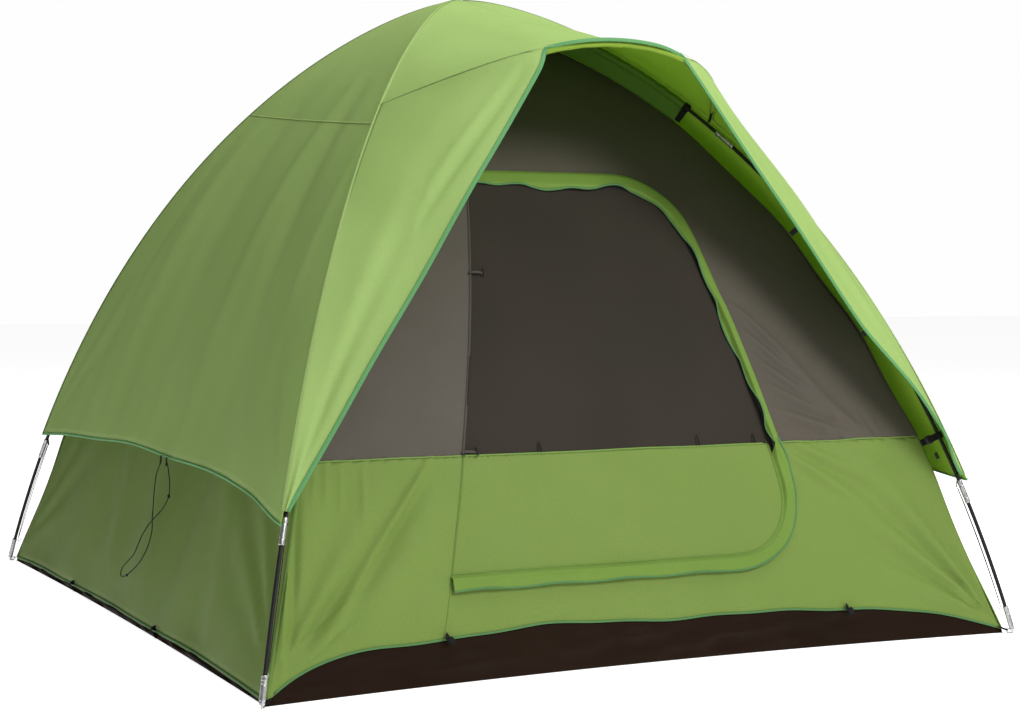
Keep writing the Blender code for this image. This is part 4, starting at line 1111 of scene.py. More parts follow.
def door_edge(grow=0.0):
    """D-shaped outline in (x, height): four sides moved out by grow, two corners rounded by an arc."""
    ahead = unit(np.roll(DOOR_CORNERS, -1, axis=0) - DOOR_CORNERS)
    behind = np.roll(ahead, 1, axis=0)
    both = np.stack([ahead[:, 1], -ahead[:, 0]], -1) + np.stack([behind[:, 1], -behind[:, 0]], -1)
    moved = DOOR_CORNERS + both * (2 * grow / np.sum(both**2, -1, keepdims=True))
    rounds = [arc_between(moved[k - 1], moved[k], moved[(k + 1) % 4], DOOR_CORNER_RADIUS + grow)
              for k in (1, 2)]
    return np.concatenate([moved[:1], *rounds, moved[3:]])


def arc_between(before, corner, after, radius):
    """Arc that touches both sides of a corner; its centre lies on the corner's bisector."""
    towards, away = unit(before - corner), unit(after - corner)
    half = math.acos(float(towards @ away)) / 2
    centre = corner + unit(towards + away) * radius / math.sin(half)
    first = corner + towards * radius / math.tan(half) - centre
    last = corner + away * radius / math.tan(half) - centre
    turn = math.acos(float(unit(first) @ unit(last)))
    t = np.linspace(0, 1, ARC_STEPS + 1)[:, None]
    return centre + (np.sin((1 - t) * turn) * first + np.sin(t * turn) * last) / math.sin(turn)


DOOR_MIDDLE = np.array([-0.02, 0.76])


def dense(outline, closed=True):
    """The same outline with a point every few millimetres."""
    ring = np.concatenate([outline, outline[:1]]) if closed else outline
    walked = steps_along(ring)
    return walk_to(ring, np.unique(np.concatenate([np.linspace(0, walked[-1], 900), walked])))


def ray_lengths(outline, turns):
    """Distance from the door's middle to an outline, for rays at the given angles."""
    away = dense(outline) - DOOR_MIDDLE
    turn, distance = np.arctan2(away[:, 1], away[:, 0]), np.hypot(away[:, 0], away[:, 1])
    order = np.argsort(turn)
    return np.interp(turns, turn[order], distance[order], period=2 * np.pi)


def wall_outline():
    """The front wall's own outline: along the hem, up one corner seam and down the other."""
    across = np.linspace(-1, 1, 121)
    rim = rim_height("front", across)
    bottom = np.stack([across * half_x(rim), rim], -1)
    side_z = np.linspace(rim[-1], height_table[-1] - 0.002, 160)
    right = np.stack([half_x(side_z), side_z], -1)
    return np.concatenate([bottom, right[1:], right[::-1] * np.array([-1, 1])])


def ray_angles(*outlines, count=420):
    """Evenly spread angles, plus one through every corner of the outlines."""
    corners = np.concatenate([np.asarray(c) for c in outlines]) - DOOR_MIDDLE
    even = np.linspace(-np.pi, np.pi, count, endpoint=False)
    turns = np.sort(np.concatenate([even, np.arctan2(corners[:, 1], corners[:, 0])]))
    return turns[np.concatenate([[True], np.diff(turns) > 1e-4])]


# %% Cutting and declaring cloth
def cut_level(piece, height, keep_above):
    """Cuts a sheet along a level plane and keeps one part, with its flat coordinates."""
    bm = bmesh.new()
    bm.from_mesh(piece.data)
    bmesh.ops.bisect_plane(bm, geom=bm.verts[:] + bm.edges[:] + bm.faces[:], plane_co=(0, 0, height),
                           plane_no=(0, 0, 1), clear_inner=keep_above, clear_outer=not keep_above, dist=1e-6)
    bm.to_mesh(piece.data)
    bm.free()
    piece.data.update()
    return piece


def cloth_area(piece):
    """Area of a sheet before it has a thickness."""
    areas = np.zeros(len(piece.data.polygons))
    piece.data.polygons.foreach_get("area", areas)
    return float(areas.sum())


def declare(piece, wide, long):
    """Says what the piece was cut from: a rectangle, and its true area where the cut is smaller."""
    area = cloth_area(piece)
    print(f"{piece.name}: cut from {wide:.2f} x {long:.2f} m, area {area:.2f} m2")


# %% Front wall
def rays_sheet(name, inner_edge, outer_edge, rows, material, slot, body="tent", place=wall_cloth_points,
               **options):
    """Sheet between two outlines round the door's middle; without an inner one it is filled in."""
    corners = [c for c in (inner_edge, outer_edge) if c is not None]
    turns = ray_angles(*[c[::ARC_STEPS] if len(c) > 60 else c for c in corners])
    far = ray_lengths(outer_edge, turns)
    near = ray_lengths(inner_edge, turns) if inner_edge is not None else 0.02 * far
    t = np.linspace(0, 1, rows)[:, None]
    distance = near + (far - near) * t
    u = DOOR_MIDDLE[0] + distance * np.cos(turns)
    height = DOOR_MIDDLE[1] + distance * np.sin(turns)
    points = place("front", u, height, **options)
    quads = facing_out(points, cells(rows, len(turns), wrap=True))
    flat = np.stack([u, height], -1).reshape(-1, 2)[quads.ravel()]
    faces = quads.tolist()
    if inner_edge is None:
        ring = np.arange(len(turns))
        a, b = points[0, 0], points[0, 3]
        turned = np.cross(a - points[0].mean(0), b - points[0].mean(0))[1] > 0
        faces.append((ring[::-1] if turned else ring).tolist())
        flat = np.concatenate([flat, np.stack([u[0], height[0]], -1)])
    return put(name, points, faces, flat, [material], body, slot)


front_lower = rays_sheet("front_wall_lower", door_edge(), wall_outline(), 70, wall_green, "wall_cloth")
front_upper = rays_sheet("front_wall_upper", door_edge(), wall_outline(), 70, wall_grey, "upper_cloth")
cut_level(front_lower, SEAM_HEIGHT, False)
cut_level(front_upper, SEAM_HEIGHT, True)
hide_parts("inner_wall_front")
for piece in (front_lower, front_upper):
    thicken(piece, CLOTH_THICKNESS)
declare(front_lower, 2.20, 0.56)
declare(front_upper, 1.93, 1.52)


# %% Left, right and back walls
def side_wall(name, columns=96, rows=110):
    """A wall between two legs, made as one grid and cut at the level seam into its two cloths."""
    side = SIDES[name]
    across = np.linspace(-1, 1, columns)[None, :]
    rim = rim_height(name, across) - 0.004
    height = rim + (height_table[-1] - 0.002 - rim) * np.linspace(0, 1, rows)[:, None] ** 0.9
    u = across * half_along(side, height)
    points = wall_cloth_points(name, u, height)
    plane = np.stack([u, height], -1)
    for part, material, slot, above in (("lower", wall_green, "wall_cloth", False),
                                        ("upper", wall_grey, "upper_cloth", True)):
        quads = facing_out(points, cells(rows, columns))
        piece = put(f"{name}_wall_{part}", points, quads.tolist(), plane.reshape(-1, 2)[quads.ravel()],
                    [material], "tent", slot)
        cut_level(piece, SEAM_HEIGHT, above)
        thicken(piece, CLOTH_THICKNESS)
        wide = 2 * float(half_along(side, SEAM_HEIGHT if above else TUB_RIM))
        declare(piece, wide, 1.62 if above else 0.63)
        if above:
            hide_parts(f"inner_wall_{name}")


for name in ("left", "right", "back"):
    side_wall(name)

# %% [markdown]
# ## The groundsheet
# The floor is one coated sheet whose edges turn up and are sewn to the walls: a hand high at the door and
# at the back, and a finger high at the sides. It bows in between the pinned corners, and its standing edge
# is full of small folds because a flat sheet can't turn a corner.

# %% Groundsheet
FLOOR_THICKNESS, FLOOR_HEIGHT = 0.0014, 0.0016
RING_SHARES = (0.03, 0.25, 0.5, 0.7, 0.85, 0.95, 0.985)    # rings of the flat floor, as shares of its edge


def tub_side(name, turn, rows=22):
    """One side's standing edge: a grid from the floor up to the hem, pushed in and out by small crumples."""
    side = SIDES[name]
    across = turn * np.linspace(-1, 1, 90, endpoint=False)
    rim = rim_height(name, across)
    levels = []
    for t in np.linspace(0, 1, rows):
        z = FLOOR_HEIGHT + (rim - FLOOR_HEIGHT) * t
        u = across * half_along(side, z)
        crumple = ripple(np.stack([u, z * 2.2], -1), 0.16, 0.0042, 40 + len(name))
        creases = np.sin(34 * across + 5 * np.sin(6 * across)) * np.sin(np.pi * min(t * 1.15, 1))
        push = (crumple + 0.0030 * creases) * math.sin(math.pi * t) * (1 - across**8) - 0.0006
        levels.append(wall_surface(side, u, z) + push[:, None] * wall_normals(side, u, z))
    return np.stack(levels)


def floor_tub():
    """Rings round the middle: flat out to the bottom edge, round the edge, then up to the walls' hem."""
    wall = np.concatenate([tub_side(name, turn) for name, turn in
                           (("front", 1), ("right", 1), ("back", -1), ("left", -1))], axis=1)
    rings = [wall[0] * np.array([share, share, 1.0]) for share in RING_SHARES]
    for ring, share in zip(rings, RING_SHARES):
        ring[:, 2] = FLOOR_HEIGHT + 0.0008 * (share < 0.98)
    points = np.concatenate([np.stack(rings), wall])
    quads = facing_out(points, cells(points.shape[0], points.shape[1], wrap=True), (0, 0, 0.3))
    plane = np.stack([points[..., 0], points[..., 1] + points[..., 2]], -1).reshape(-1, 2)
    ring = list(range(points.shape[1]))
    middle = ring[::-1] if quads[0, 0] + 1 == quads[0, 1] else ring
    flat = np.concatenate([plane[quads.ravel()], plane[middle]])
    piece = put("groundsheet", points, quads.tolist() + [middle], flat, [floor_brown], "tent", "floor_cloth")
    return thicken(piece, FLOOR_THICKNESS)


groundsheet = floor_tub()
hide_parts("floor_tub")
declare(groundsheet, 2.42, 2.78)

# %% [markdown]
# ## The door
# The door is a D of the same two cloths, green below and dark net above. It hangs on the straight seam at
# its left and a zip runs round the rest. Near that seam the cloth has to bend between the tent and the door
# when it opens; the span of that bend, the first eleven centimetres, is worked out, and the door's pieces
# are not attached to the tent's body.

# %% Door cloth
hinge = joints["door_swing"]
hinge_axis = -unit(np.array(hinge["axis"], float))
hinge_bottom = DOOR_CORNERS[0]
seam_low = wall_surface(SIDES["front"], np.array(hinge_bottom[0]), np.array(hinge_bottom[1]))
away_from_seam = unit(np.array([1.0, 0, 0]) - hinge_axis * hinge_axis[0])
BEND_START, BEND_END = 0.004, 0.110
bend = (tuple(seam_low + away_from_seam * BEND_START), tuple(seam_low + away_from_seam * BEND_END))


def door_bumps(u, height):
    """The wall's folds at 0.6 of their height, with softer folds of the door's own."""
    plane = np.stack([u, height], -1)
    own = ripple(plane * np.array([1.0, 0.7]), 0.34, 0.0026, 71)
    own = own + fold(plane, (-0.25, 0.60), (0.30, 0.62), 0.025, 0.003)
    return 0.6 * wall_folds("front", plane) + own - fold(plane, (0.30, 1.2), (0.36, 0.62), 0.05, 0.005)


def door_points(name, u, height, lift=WALL_LIFT):
    """The door's cloth: the wall's surface with the door's bumps along the outward normal."""
    side = SIDES[name]
    return raised_wall(side, u, height, lift + door_bumps(u, height))


edge = door_edge()
door_lower = rays_sheet("door_lower_cloth", None, edge, 60, wall_green, "wall_cloth", None, door_points)
door_net = rays_sheet("door_window_net", None, edge, 60, net, "window_mesh", None, door_points)
for piece, above, node in ((door_lower, False, "door_lower_panel"), (door_net, True, "door_window_mesh")):
    cut_level(piece, SEAM_HEIGHT, above)
    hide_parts(node)
    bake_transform(piece)
    thicken(piece, CLOTH_THICKNESS)
declare(door_lower, 1.10, 0.33)
declare(door_net, 0.97, 0.83)

# %% [markdown]
# ## The zip flap
# A strip of cloth covers the zip. Above the level seam it is sewn along its outer edge, and its free bound
# edge hangs over the net; below the seam it is sewn to the door and its free bound edge lies outside. It
# twists where the two kinds meet, which is the narrow neck at the seam. The strip is swept along the door's
# own outline, and it stands off the wall just enough for the sliders to run under it.

# %% Flap surface
FLAP_STATIONS = 700
SLIDER_TOP = 0.0185      # the flap's height over the wall's inner face where the upper slider runs
LOWER_SLIDER_TOP = 0.0120
BARE_ZIP_TOP = 0.0085    # its height where no slider runs


def flap_path():
    """Points along the door's outline from the top left corner to the bottom left, and outward directions."""
    outline = dense(door_edge()[::-1], closed=False)
    marks = np.linspace(0, steps_along(outline)[-1], FLAP_STATIONS)
    path = walk_to(outline, marks)
    kernel = np.hanning(31) / np.hanning(31).sum()
    before = path[:1] + (path[:1] - path[1:2]) * np.arange(15, 0, -1)[:, None]
    after = path[-1:] + (path[-1:] - path[-2:-1]) * np.arange(1, 16)[:, None]
    padded = np.concatenate([before, path, after])
    path = np.stack([np.convolve(padded[:, axis], kernel, "valid") for axis in (0, 1)], -1)
    ahead = unit(np.gradient(path, axis=0))
    return path, np.stack([-ahead[:, 1], ahead[:, 0]], -1), marks


flap_line, flap_out, flap_marks = flap_path()
if np.sum((flap_line - DOOR_MIDDLE) * flap_out) < 0:
    flap_out = -flap_out
right_side = (flap_line[:, 0] > 0.2) & (np.abs(flap_line[:, 1] - SEAM_HEIGHT) < 0.2)
neck = float(flap_marks[right_side][np.argmin(np.abs(flap_line[right_side, 1] - SEAM_HEIGHT))])
below = ease(flap_marks, neck - 0.03, neck + 0.03)           # 0 above the neck, 1 below it
slim = ease(flap_line[:, 0], 0.30, 0.37) * (1 - below)        # 1 where the strip is slimmer


# %% Flap shape
def flap_outline(across):
    """How far each point reaches out from the zip, and how free it is: 0 where sewn, 1 at the free edge."""
    narrow = 1 - 0.62 * np.exp(-((flap_marks - neck) / 0.035) ** 2)
    end = 1 - 0.25 * np.exp(-(flap_marks / 0.05) ** 2)
    sag = 0.0055 * np.sin(flap_marks * 17.0) + 0.0035 * np.sin(flap_marks * 41.0 + 1.0)
    sag = sag * (1 - below) * ease(flap_marks, 0.0, 0.08) + 0.0016 * np.sin(flap_marks * 29.0) * below
    free = np.where(below[:, None] < 0.5, (1 - across[None, :]) / 2, (1 + across[None, :]) / 2)
    middle = 0.011 * (1 - below) + 0.003 * below - 0.006 * slim
    half = (0.0225 - 0.006 * slim) * narrow * end
    return middle[:, None] + half[:, None] * across[None, :] + sag[:, None] * free, free


def flap_lift(reach, free, bumps_wall, bumps_door):
    """Height over the wall: low where sewn, over the sliders where they run, puffed where free."""
    x, height = flap_line[:, 0], flap_line[:, 1]
    runs_upper = ease(height, 0.50, 0.56) * (1 - ease(height, 0.92, 1.02)) * (x > 0.2)
    runs_lower = (height < 0.35) * (1 - ease(x, 0.27, 0.36))
    high = (BARE_ZIP_TOP + (SLIDER_TOP - BARE_ZIP_TOP) * runs_upper
            + (LOWER_SLIDER_TOP - BARE_ZIP_TOP) * runs_lower)
    puff = 0.0016 * np.sin(flap_marks * 23.0) + 0.0010 * np.sin(flap_marks * 61.0)
    low_edge = 0.021 - 0.011 * slim[:, None]
    fall = 1 - np.clip((reach - low_edge) / 0.010, 0, 1) ** 2
    over_zip = ease(reach, -0.013, -0.004) * fall
    sewn = (FABRIC + 0.0018) * (1 - below[:, None]) + (0.0014 + 0.0012 * free) * below[:, None]
    on_wall = ease(reach, -0.006, 0.006)
    follow = (bumps_wall * on_wall + bumps_door * (1 - on_wall)) * below[:, None]
    follow = np.where(follow > 0, follow, follow * (1 - over_zip))
    lift = sewn + follow + (high[:, None] - FABRIC) * over_zip + np.abs(puff)[:, None] * free
    return lift + 0.0025 * np.exp(-((flap_marks - neck) / 0.02) ** 2)[:, None]


def flap_points(across):
    """The strip's points for across from -1, its inner edge, to 1, its outer edge."""
    reach, free = flap_outline(across)
    at = flap_line[:, None] + reach[..., None] * flap_out[:, None]
    u, height = at[..., 0], at[..., 1]
    lift = flap_lift(reach, free, wall_bumps("front", u, height), door_bumps(u, height))
    side = SIDES["front"]
    return raised_wall(side, u, height, lift)


flap_across = np.linspace(-1, 1, 25)
flap_grid = flap_points(flap_across)
flap_flat = np.stack(np.broadcast_arrays(flap_marks[:, None], 0.02 * flap_across[None, :]), -1)
flap = put_sheet("door_zip_cover", flap_grid, flap_flat, [flap_green], None, "wall_cloth")
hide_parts("door_zip_flap")
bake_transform(flap)
print("flap", round(float(flap_marks[-1]), 3), "m long, area", round(flat_size(flap_grid), 4))

# %% Flap binding, stitch lines and zip
above_neck = flap_marks < neck + 0.004
below_neck = flap_marks > neck - 0.010
front_out = np.array([0, -1.0, 0.35])
for name, line in (("upper", flap_grid[above_neck, 0]), ("lower", flap_grid[below_neck, -1])):
    put_tape(f"binding_flap_{name}", line, front_out, 0.0060, 0.0034, inner_binding, slot="fly_cloth",
             blend=bend)


def wall_line(points_2d, lift, place=wall_cloth_points):
    """A line of (distance along the front, height) points laid on the wall's or the door's own cloth."""
    return place("front", points_2d[:, 0], points_2d[:, 1], lift=lift)


def put_stitches(name, points_2d, lift, blend=None, place=wall_cloth_points):
    """A thin raised line of thread with a stitch every 8 mm: its profile swells and shrinks along it."""
    path = even_walk(wall_line(points_2d, lift, place), 600)
    along = tangents(path)
    across = unit(np.cross(along, np.broadcast_to(front_out, path.shape)))
    pulse = 0.75 + 0.25 * np.cos(steps_along(path) * 2 * np.pi / STITCH)
    swept = carry(path, across, np.cross(across, along), strap_profile(0.0016, 0.0010), pulse)
    piece = put(name, *swept, [stitch_green], None if blend else "tent", "wall_cloth")
    if blend:
        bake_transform(piece)
    return piece


STITCH = 0.008
inner_stitch = flap_line[below_neck] - 0.0165 * flap_out[below_neck]
stitch_green = cloth_finish("green thread", (0.150, 0.250, 0.055), (0.130, 0.220, 0.050))
put_stitches("flap_stitches_lower", inner_stitch, 0.0032, bend, door_points)
inside = flap_line[:, 0] > DOOR_CORNERS[0][0] + 0.012
for name, shift, place, blended in (("zip_tape_wall", 0.0055, wall_cloth_points, None),
                                    ("zip_tape_door", -0.0055, door_points, bend)):
    path = wall_line((flap_line + shift * flap_out)[inside], 0.0021, place)
    put_tape(name, path, front_out, 0.010, 0.0009, zip_coil, slot="black_plastic", blend=blended)
print("flap binding, stitches and zip")

# %% [markdown]
# ## Tapes on the inner tent
# The walls' hem is bound where it meets the groundsheet, the level seam is stitched round the tent, the
# hinge seam has a dark tape above the level seam, and the corner seams are taped from the floor to the
# crown.

# %% Hem and level seams
NEARLY_ALL = 0.985       # tapes stop just short of the corner seams
LEVEL_TAPE = SEAM_HEIGHT + 0.0005


def put_level_seam(name, side_name, u, width, thickness):
    """A green tape over the level seam, from the first to the last distance along the side."""
    level = np.full_like(u, LEVEL_TAPE)
    line = wall_cloth_points(side_name, u, level, lift=0.0022)
    put_tape(name, line, wall_normals(SIDES[side_name], u, level), width, thickness, stitch_green,
             slot="wall_cloth")


for name, side in SIDES.items():
    across = np.linspace(-NEARLY_ALL, NEARLY_ALL, 260)
    rim = rim_height(name, across) + 0.0015
    u = across * half_along(side, rim)
    line = wall_cloth_points(name, u, rim, lift=0.0026)
    put_tape(f"hem_tape_{name}", line, wall_normals(side, u, rim), 0.0060, 0.0022, inner_binding,
             slot="fly_cloth")
    if name != "front":
        u = np.linspace(-NEARLY_ALL, NEARLY_ALL, 200) * float(half_along(side, SEAM_HEIGHT))
        put_level_seam(f"level_seam_{name}", name, u, 0.005, 0.0014)
seam_line = DOOR_CORNERS[[0, 3]]       # the door's straight seam, bottom and top


def hinge_x(height):
    """Where the door's straight seam is at a height."""
    return np.interp(height, seam_line[:, 1], seam_line[:, 0])


door_right = float(flap_line[right_side][np.argmin(np.abs(flap_line[right_side, 1] - SEAM_HEIGHT)), 0])
door_left = float(hinge_x(SEAM_HEIGHT))
seam_reach = float(half_x(SEAM_HEIGHT)) * NEARLY_ALL
for name, start, end in (("left", -seam_reach, door_left - 0.004), ("right", door_right + 0.02, seam_reach)):
    put_level_seam(f"level_seam_front_{name}", "front", np.linspace(start, end, 120), 0.004, 0.0012)
u = np.linspace(door_left + 0.004, door_right - 0.03, 160)
door_seam = put("level_seam_door", *carry(door_points("front", u, np.full_like(u, LEVEL_TAPE), 0.0022),
                                          np.tile([0, 0.3, 1.0], (160, 1)), np.tile([0, -1.0, 0.3], (160, 1)),
                                          strap_profile(0.004, 0.0012)), [stitch_green], None, "wall_cloth")
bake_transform(door_seam)

# %% Hinge and corner seams
heights = np.linspace(DOOR_CORNERS[3][1] + 0.02, SEAM_HEIGHT, 140)
u = hinge_x(heights)
put_tape("hinge_seam_upper", wall_cloth_points("front", u, heights, 0.0024),
         wall_normals(SIDES["front"], u, heights), 0.0065, 0.0016, seam_grey, slot="upper_cloth")
heights = np.linspace(SEAM_HEIGHT, TUB_RIM + 0.012, 140)
slope = (DOOR_CORNERS[0] - DOOR_CORNERS[3]) / (DOOR_CORNERS[0][1] - DOOR_CORNERS[3][1])
u = DOOR_CORNERS[0][0] + slope[0] * (heights - DOOR_CORNERS[0][1])
put_stitches("hinge_seam_lower", np.stack([u, heights], -1), 0.0026)
for name, (hand, face) in CORNERS.items():
    heights = np.linspace(0.018, height_table[-1] - 0.03, 260)
    corner = wall_surface((0, face), hand * half_x(heights), heights)
    outward = unit(corner * np.array([1, 1, 0.0]))
    for part, inside, material, slot in (("lower", heights <= SEAM_HEIGHT, stitch_green, "wall_cloth"),
                                         ("upper", heights >= SEAM_HEIGHT, seam_grey, "upper_cloth")):
        line = corner[inside] + 0.0025 * outward[inside]
        put_tape(f"corner_seam_{part}_{name}", line, outward[inside], 0.008, 0.0030, material, slot=slot)
print("inner tent's tapes")

# %% [markdown]
# ## Sleeves, clips and corner fittings
# Near the crown the inner tent is held by cloth sleeves, lower down by plastic hooks, and at the level seam
# by a webbing strap with a buckle. At each foot an elastic cord pulls the fly's corner down to the pole's
# tip.

# %% Sleeves
SLEEVE_FROM, SLEEVE_TO = 0.520, 0.800       # shares of the rise
BROW_SLEEVE_RADIUS, BROW_SLEEVE_FLAT = 0.0078, 0.049


def leg_frame(hand, face, share):
    """Place, outward, across and up directions along a leg."""
    place = rib_point(hand, face, share)
    outward = unit(rib_point(hand, face, share, 1.0) - place)
    up = unit(rib_point(hand, face, share + 1e-4) - rib_point(hand, face, share - 1e-4))
    return place, outward, np.cross(up, outward), up


def put_tube(name, points, quads, flat, material, thickness):
    """Sleeve cloth from a grid of points and its flat coordinates."""
    piece = put(name, points, quads.tolist(), flat.reshape(-1, 2)[quads.ravel()], [material], "tent",
                "sleeve_cloth")
    return thicken(piece, thickness)


def put_strap(name, place, outward, across, up, reach, radius, wrapped, gap, width, thickness, turns, steps):
    """Webbing that starts a reach inside the pole, runs round it and comes back beside itself."""
    wrap = np.linspace(-wrapped, wrapped, turns)[:, None]
    hoop = place + radius * (np.cos(wrap) * outward + np.sin(wrap) * across)
    root = (place - reach * outward)[None]
    path = even_walk(np.concatenate([root - gap * across, hoop, root + gap * across]), steps)
    sideways = np.tile(up, (len(path), 1))
    return put(name, *carry(path, sideways, unit(np.cross(tangents(path), up)),
                            strap_profile(width, thickness)),
               [black_webbing], "tent", "black_plastic")


# %% Pole sleeves and the brow pole's sleeve
def put_pole_sleeve(name, hand, face):
    """A loop round the pole, open towards the tent, with a two-layer web that runs down to the wall."""
    share = np.linspace(SLEEVE_FROM, SLEEVE_TO, 150)
    place, outward, across, up = leg_frame(hand, face, share)
    turn = np.radians(np.linspace(-172, 172, 45))
    gather = 1 + 0.05 * np.sin(share * 330)[:, None] * np.cos(turn)[None, :]
    loop = SLEEVE_RADIUS * (gather + 0.03 * np.sin(3 * turn + share[:, None] * 90))
    ring = (place[:, None] + (loop * np.cos(turn))[..., None] * outward[:, None]
            + (loop * np.sin(turn))[..., None] * across[:, None])
    reach = np.linspace(CLIP_REACH - 0.004, SLEEVE_RADIUS, 12)
    web = [place[:, None] - reach[None, :, None] * outward[:, None] + layer * 0.0011 * across[:, None]
           for layer in (-1, 1)]
    points = np.concatenate([web[0], ring, web[1][:, ::-1]], axis=1)
    along = steps_along(place)
    round_it = np.linspace(0, 2 * CLIP_REACH + 2 * np.pi * SLEEVE_RADIUS, points.shape[1])
    flat = np.stack(np.broadcast_arrays(along[:, None], round_it[None, :]), -1)
    quads = cells(*points.shape[:2])
    a, b, c = points[0, 34], points[0, 35], points[1, 34]
    quads = quads if np.dot(np.cross(b - a, c - a), a - place[0]) > 0 else quads[:, ::-1]
    sleeve = put_tube(f"pole_sleeve_cloth_{name}", points, quads, flat, sleeve_green, 0.0007)
    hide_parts(f"pole_sleeve_{name}")
    put_strap(f"sleeve_end_webbing_{name}", place[0], outward[0], across[0], up[0], 0.050, 0.0126, 2.7, 0.001,
              0.018, 0.0016, 40, 80)


def put_brow_sleeve():
    """A closed tube round the brow pole, slightly gathered."""
    middle = even_walk(brow_line[30:-30], 160)
    along = tangents(middle)
    up = unit(np.cross([0, 1.0, 0], along))
    out = np.cross(along, up)
    turn = np.linspace(0, 2 * np.pi, 25)[:-1]
    loop = BROW_SLEEVE_RADIUS * (1 + 0.05 * np.sin(np.arange(160) * 0.7)[:, None] * np.cos(2 * turn)[None, :])
    points = (middle[:, None] + (loop * np.cos(turn))[..., None] * out[:, None]
              + (loop * np.sin(turn))[..., None] * up[:, None])
    quads = cells(160, 24, wrap=True)
    first = points[0, 0]
    if np.dot(np.cross(points[0, 1] - first, points[1, 0] - first), first - middle[0]) < 0:
        quads = quads[:, ::-1]
    long = steps_along(middle)
    flat = np.stack(np.broadcast_arrays(long[:, None], BROW_SLEEVE_RADIUS * turn[None, :]), -1)
    piece = put_tube("brow_sleeve", points, quads, flat, fly_inside_with_painted_light, 0.0006)


for name, (hand, face) in CORNERS.items():
    put_pole_sleeve(name, hand, face)
put_brow_sleeve()
print("sleeves")

# %% Plastic clips
clips = [f"pole_clip_{name}_{k}" for name in CORNERS for k in (1, 2)]
for name in (*clips, "zip_slider_lower", "zip_slider_upper"):
    frame["nodes"][name].data.materials.clear()
    frame["nodes"][name].data.materials.append(black_plastic)
print("clips and sliders keep their shape")


# %% Straps, buckles and corner cords
def rounded_block(name, centre, right, up, size, material, edge):
    """Small moulded block: a superellipsoid, |x|^n + |y|^n + |z|^n = 1 on a grid of angles."""
    def power(value):
        """A signed power, which squares off a sine or a cosine."""
        return np.sign(value) * np.abs(value) ** edge

    turn = np.linspace(-np.pi, np.pi, 40, endpoint=False)[None, :]
    dip = np.linspace(-np.pi / 2, np.pi / 2, 22)[1:-1, None]
    x = power(np.cos(dip)) * power(np.cos(turn))
    y = power(np.cos(dip)) * power(np.sin(turn))
    z = power(np.sin(dip)) * np.ones_like(turn)
    points = (np.asarray(centre) + (size[0] / 2 * x)[..., None] * right + (size[1] / 2 * y)[..., None] * up
              + (size[2] / 2 * z)[..., None] * np.cross(right, up))
    quads = facing_out(points, cells(20, 40, wrap=True), points.mean((0, 1)))
    low, high = list(range(40)), list(range(19 * 40, 20 * 40))
    forward = quads[0, 1] == quads[0, 0] + 1
    ends = [low[::-1], high] if forward else [low, high[::-1]]
    return put(name, points, quads.tolist() + ends, None, [material], "tent", "black_plastic")


def put_corner_strap(name, hand, face):
    """The webbing strap at the level seam and the buckle on it."""
    share = np.array([float(wall_share(SEAM_HEIGHT - 0.02))])
    place, outward, across, up = (v[0] for v in leg_frame(hand, face, share))
    put_strap(f"corner_strap_{name}", place, outward, across, up, CLIP_REACH + 0.002, 0.0105, 2.6, 0.0014,
              0.020,
              0.0018, 36, 90)
    rounded_block(f"corner_buckle_{name}", place - 0.032 * outward, outward, up, (0.022, 0.026, 0.009),
                  black_plastic, 0.45)


# The elastic runs on the pole's inner side, from a tab in the fly's corner down to a hook at the foot.
BUNGEE_RADIUS, BUNGEE_STANDOFF, BUNGEE_TOP, BUNGEE_FOOT = 0.00105, -0.0125, 0.100, 0.020


def put_corner_elastic(name, hand, face):
    """Two strands of elastic that spread a little, their hook, and the tab and buckle in the fly's corner."""
    share = np.linspace(BUNGEE_TOP, BUNGEE_FOOT, 90)
    place, outward, across, up = leg_frame(hand, face, share)
    for k, gap in enumerate((-0.0045, 0.0045)):
        spread = gap * np.sin(np.pi * np.linspace(0.02, 0.98, 90)) ** 0.5
        path = rib_point(hand, face, share, BUNGEE_STANDOFF) + spread[:, None] * across
        cord = rod(f"corner_elastic_{name}_{k + 1}", path, BUNGEE_RADIUS, elastic, across[0], 10, slot="cord")
        if k == 0:
            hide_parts(f"corner_bungee_{name}")
    top = rib_point(hand, face, BUNGEE_TOP + 0.002, BUNGEE_STANDOFF)
    tab = np.stack([rib_point(hand, face, FLY_HEM + 0.012, FLY_STANDOFF - 0.0150),
                    rib_point(hand, face, FLY_HEM + 0.004, FLY_STANDOFF - 0.0145), top, top - 0.006 * up[0]])
    put_tape(f"fly_corner_tab_{name}", even_walk(smooth_route(tab), 40), outward[0], 0.009, 0.0018,
             black_webbing, slot="black_plastic")
    inside = rib_point(hand, face, FLY_HEM + 0.018) - 0.020 * outward[0] - np.array([0.014 * hand, 0, 0])
    rounded_block(f"fly_corner_buckle_{name}", inside, across[0], up[0], (0.016, 0.022, 0.008), black_plastic,
                  0.4)
    low = rib_point(hand, face, BUNGEE_FOOT, BUNGEE_STANDOFF)
    hook = np.stack([low - down * up[-1] - back * outward[-1] for down, back in
                     ((0, 0), (0.008, 0), (0.014, 0.004), (0.011, 0.009), (0.004, 0.0095))])
    rod(f"corner_hook_{name}", even_walk(smooth_route(hook), 50), 0.0013, steel, across[-1], 12, slot="steel")


for name, (hand, face) in CORNERS.items():
    put_corner_strap(name, hand, face)
    put_corner_elastic(name, hand, face)
print("corner fittings")

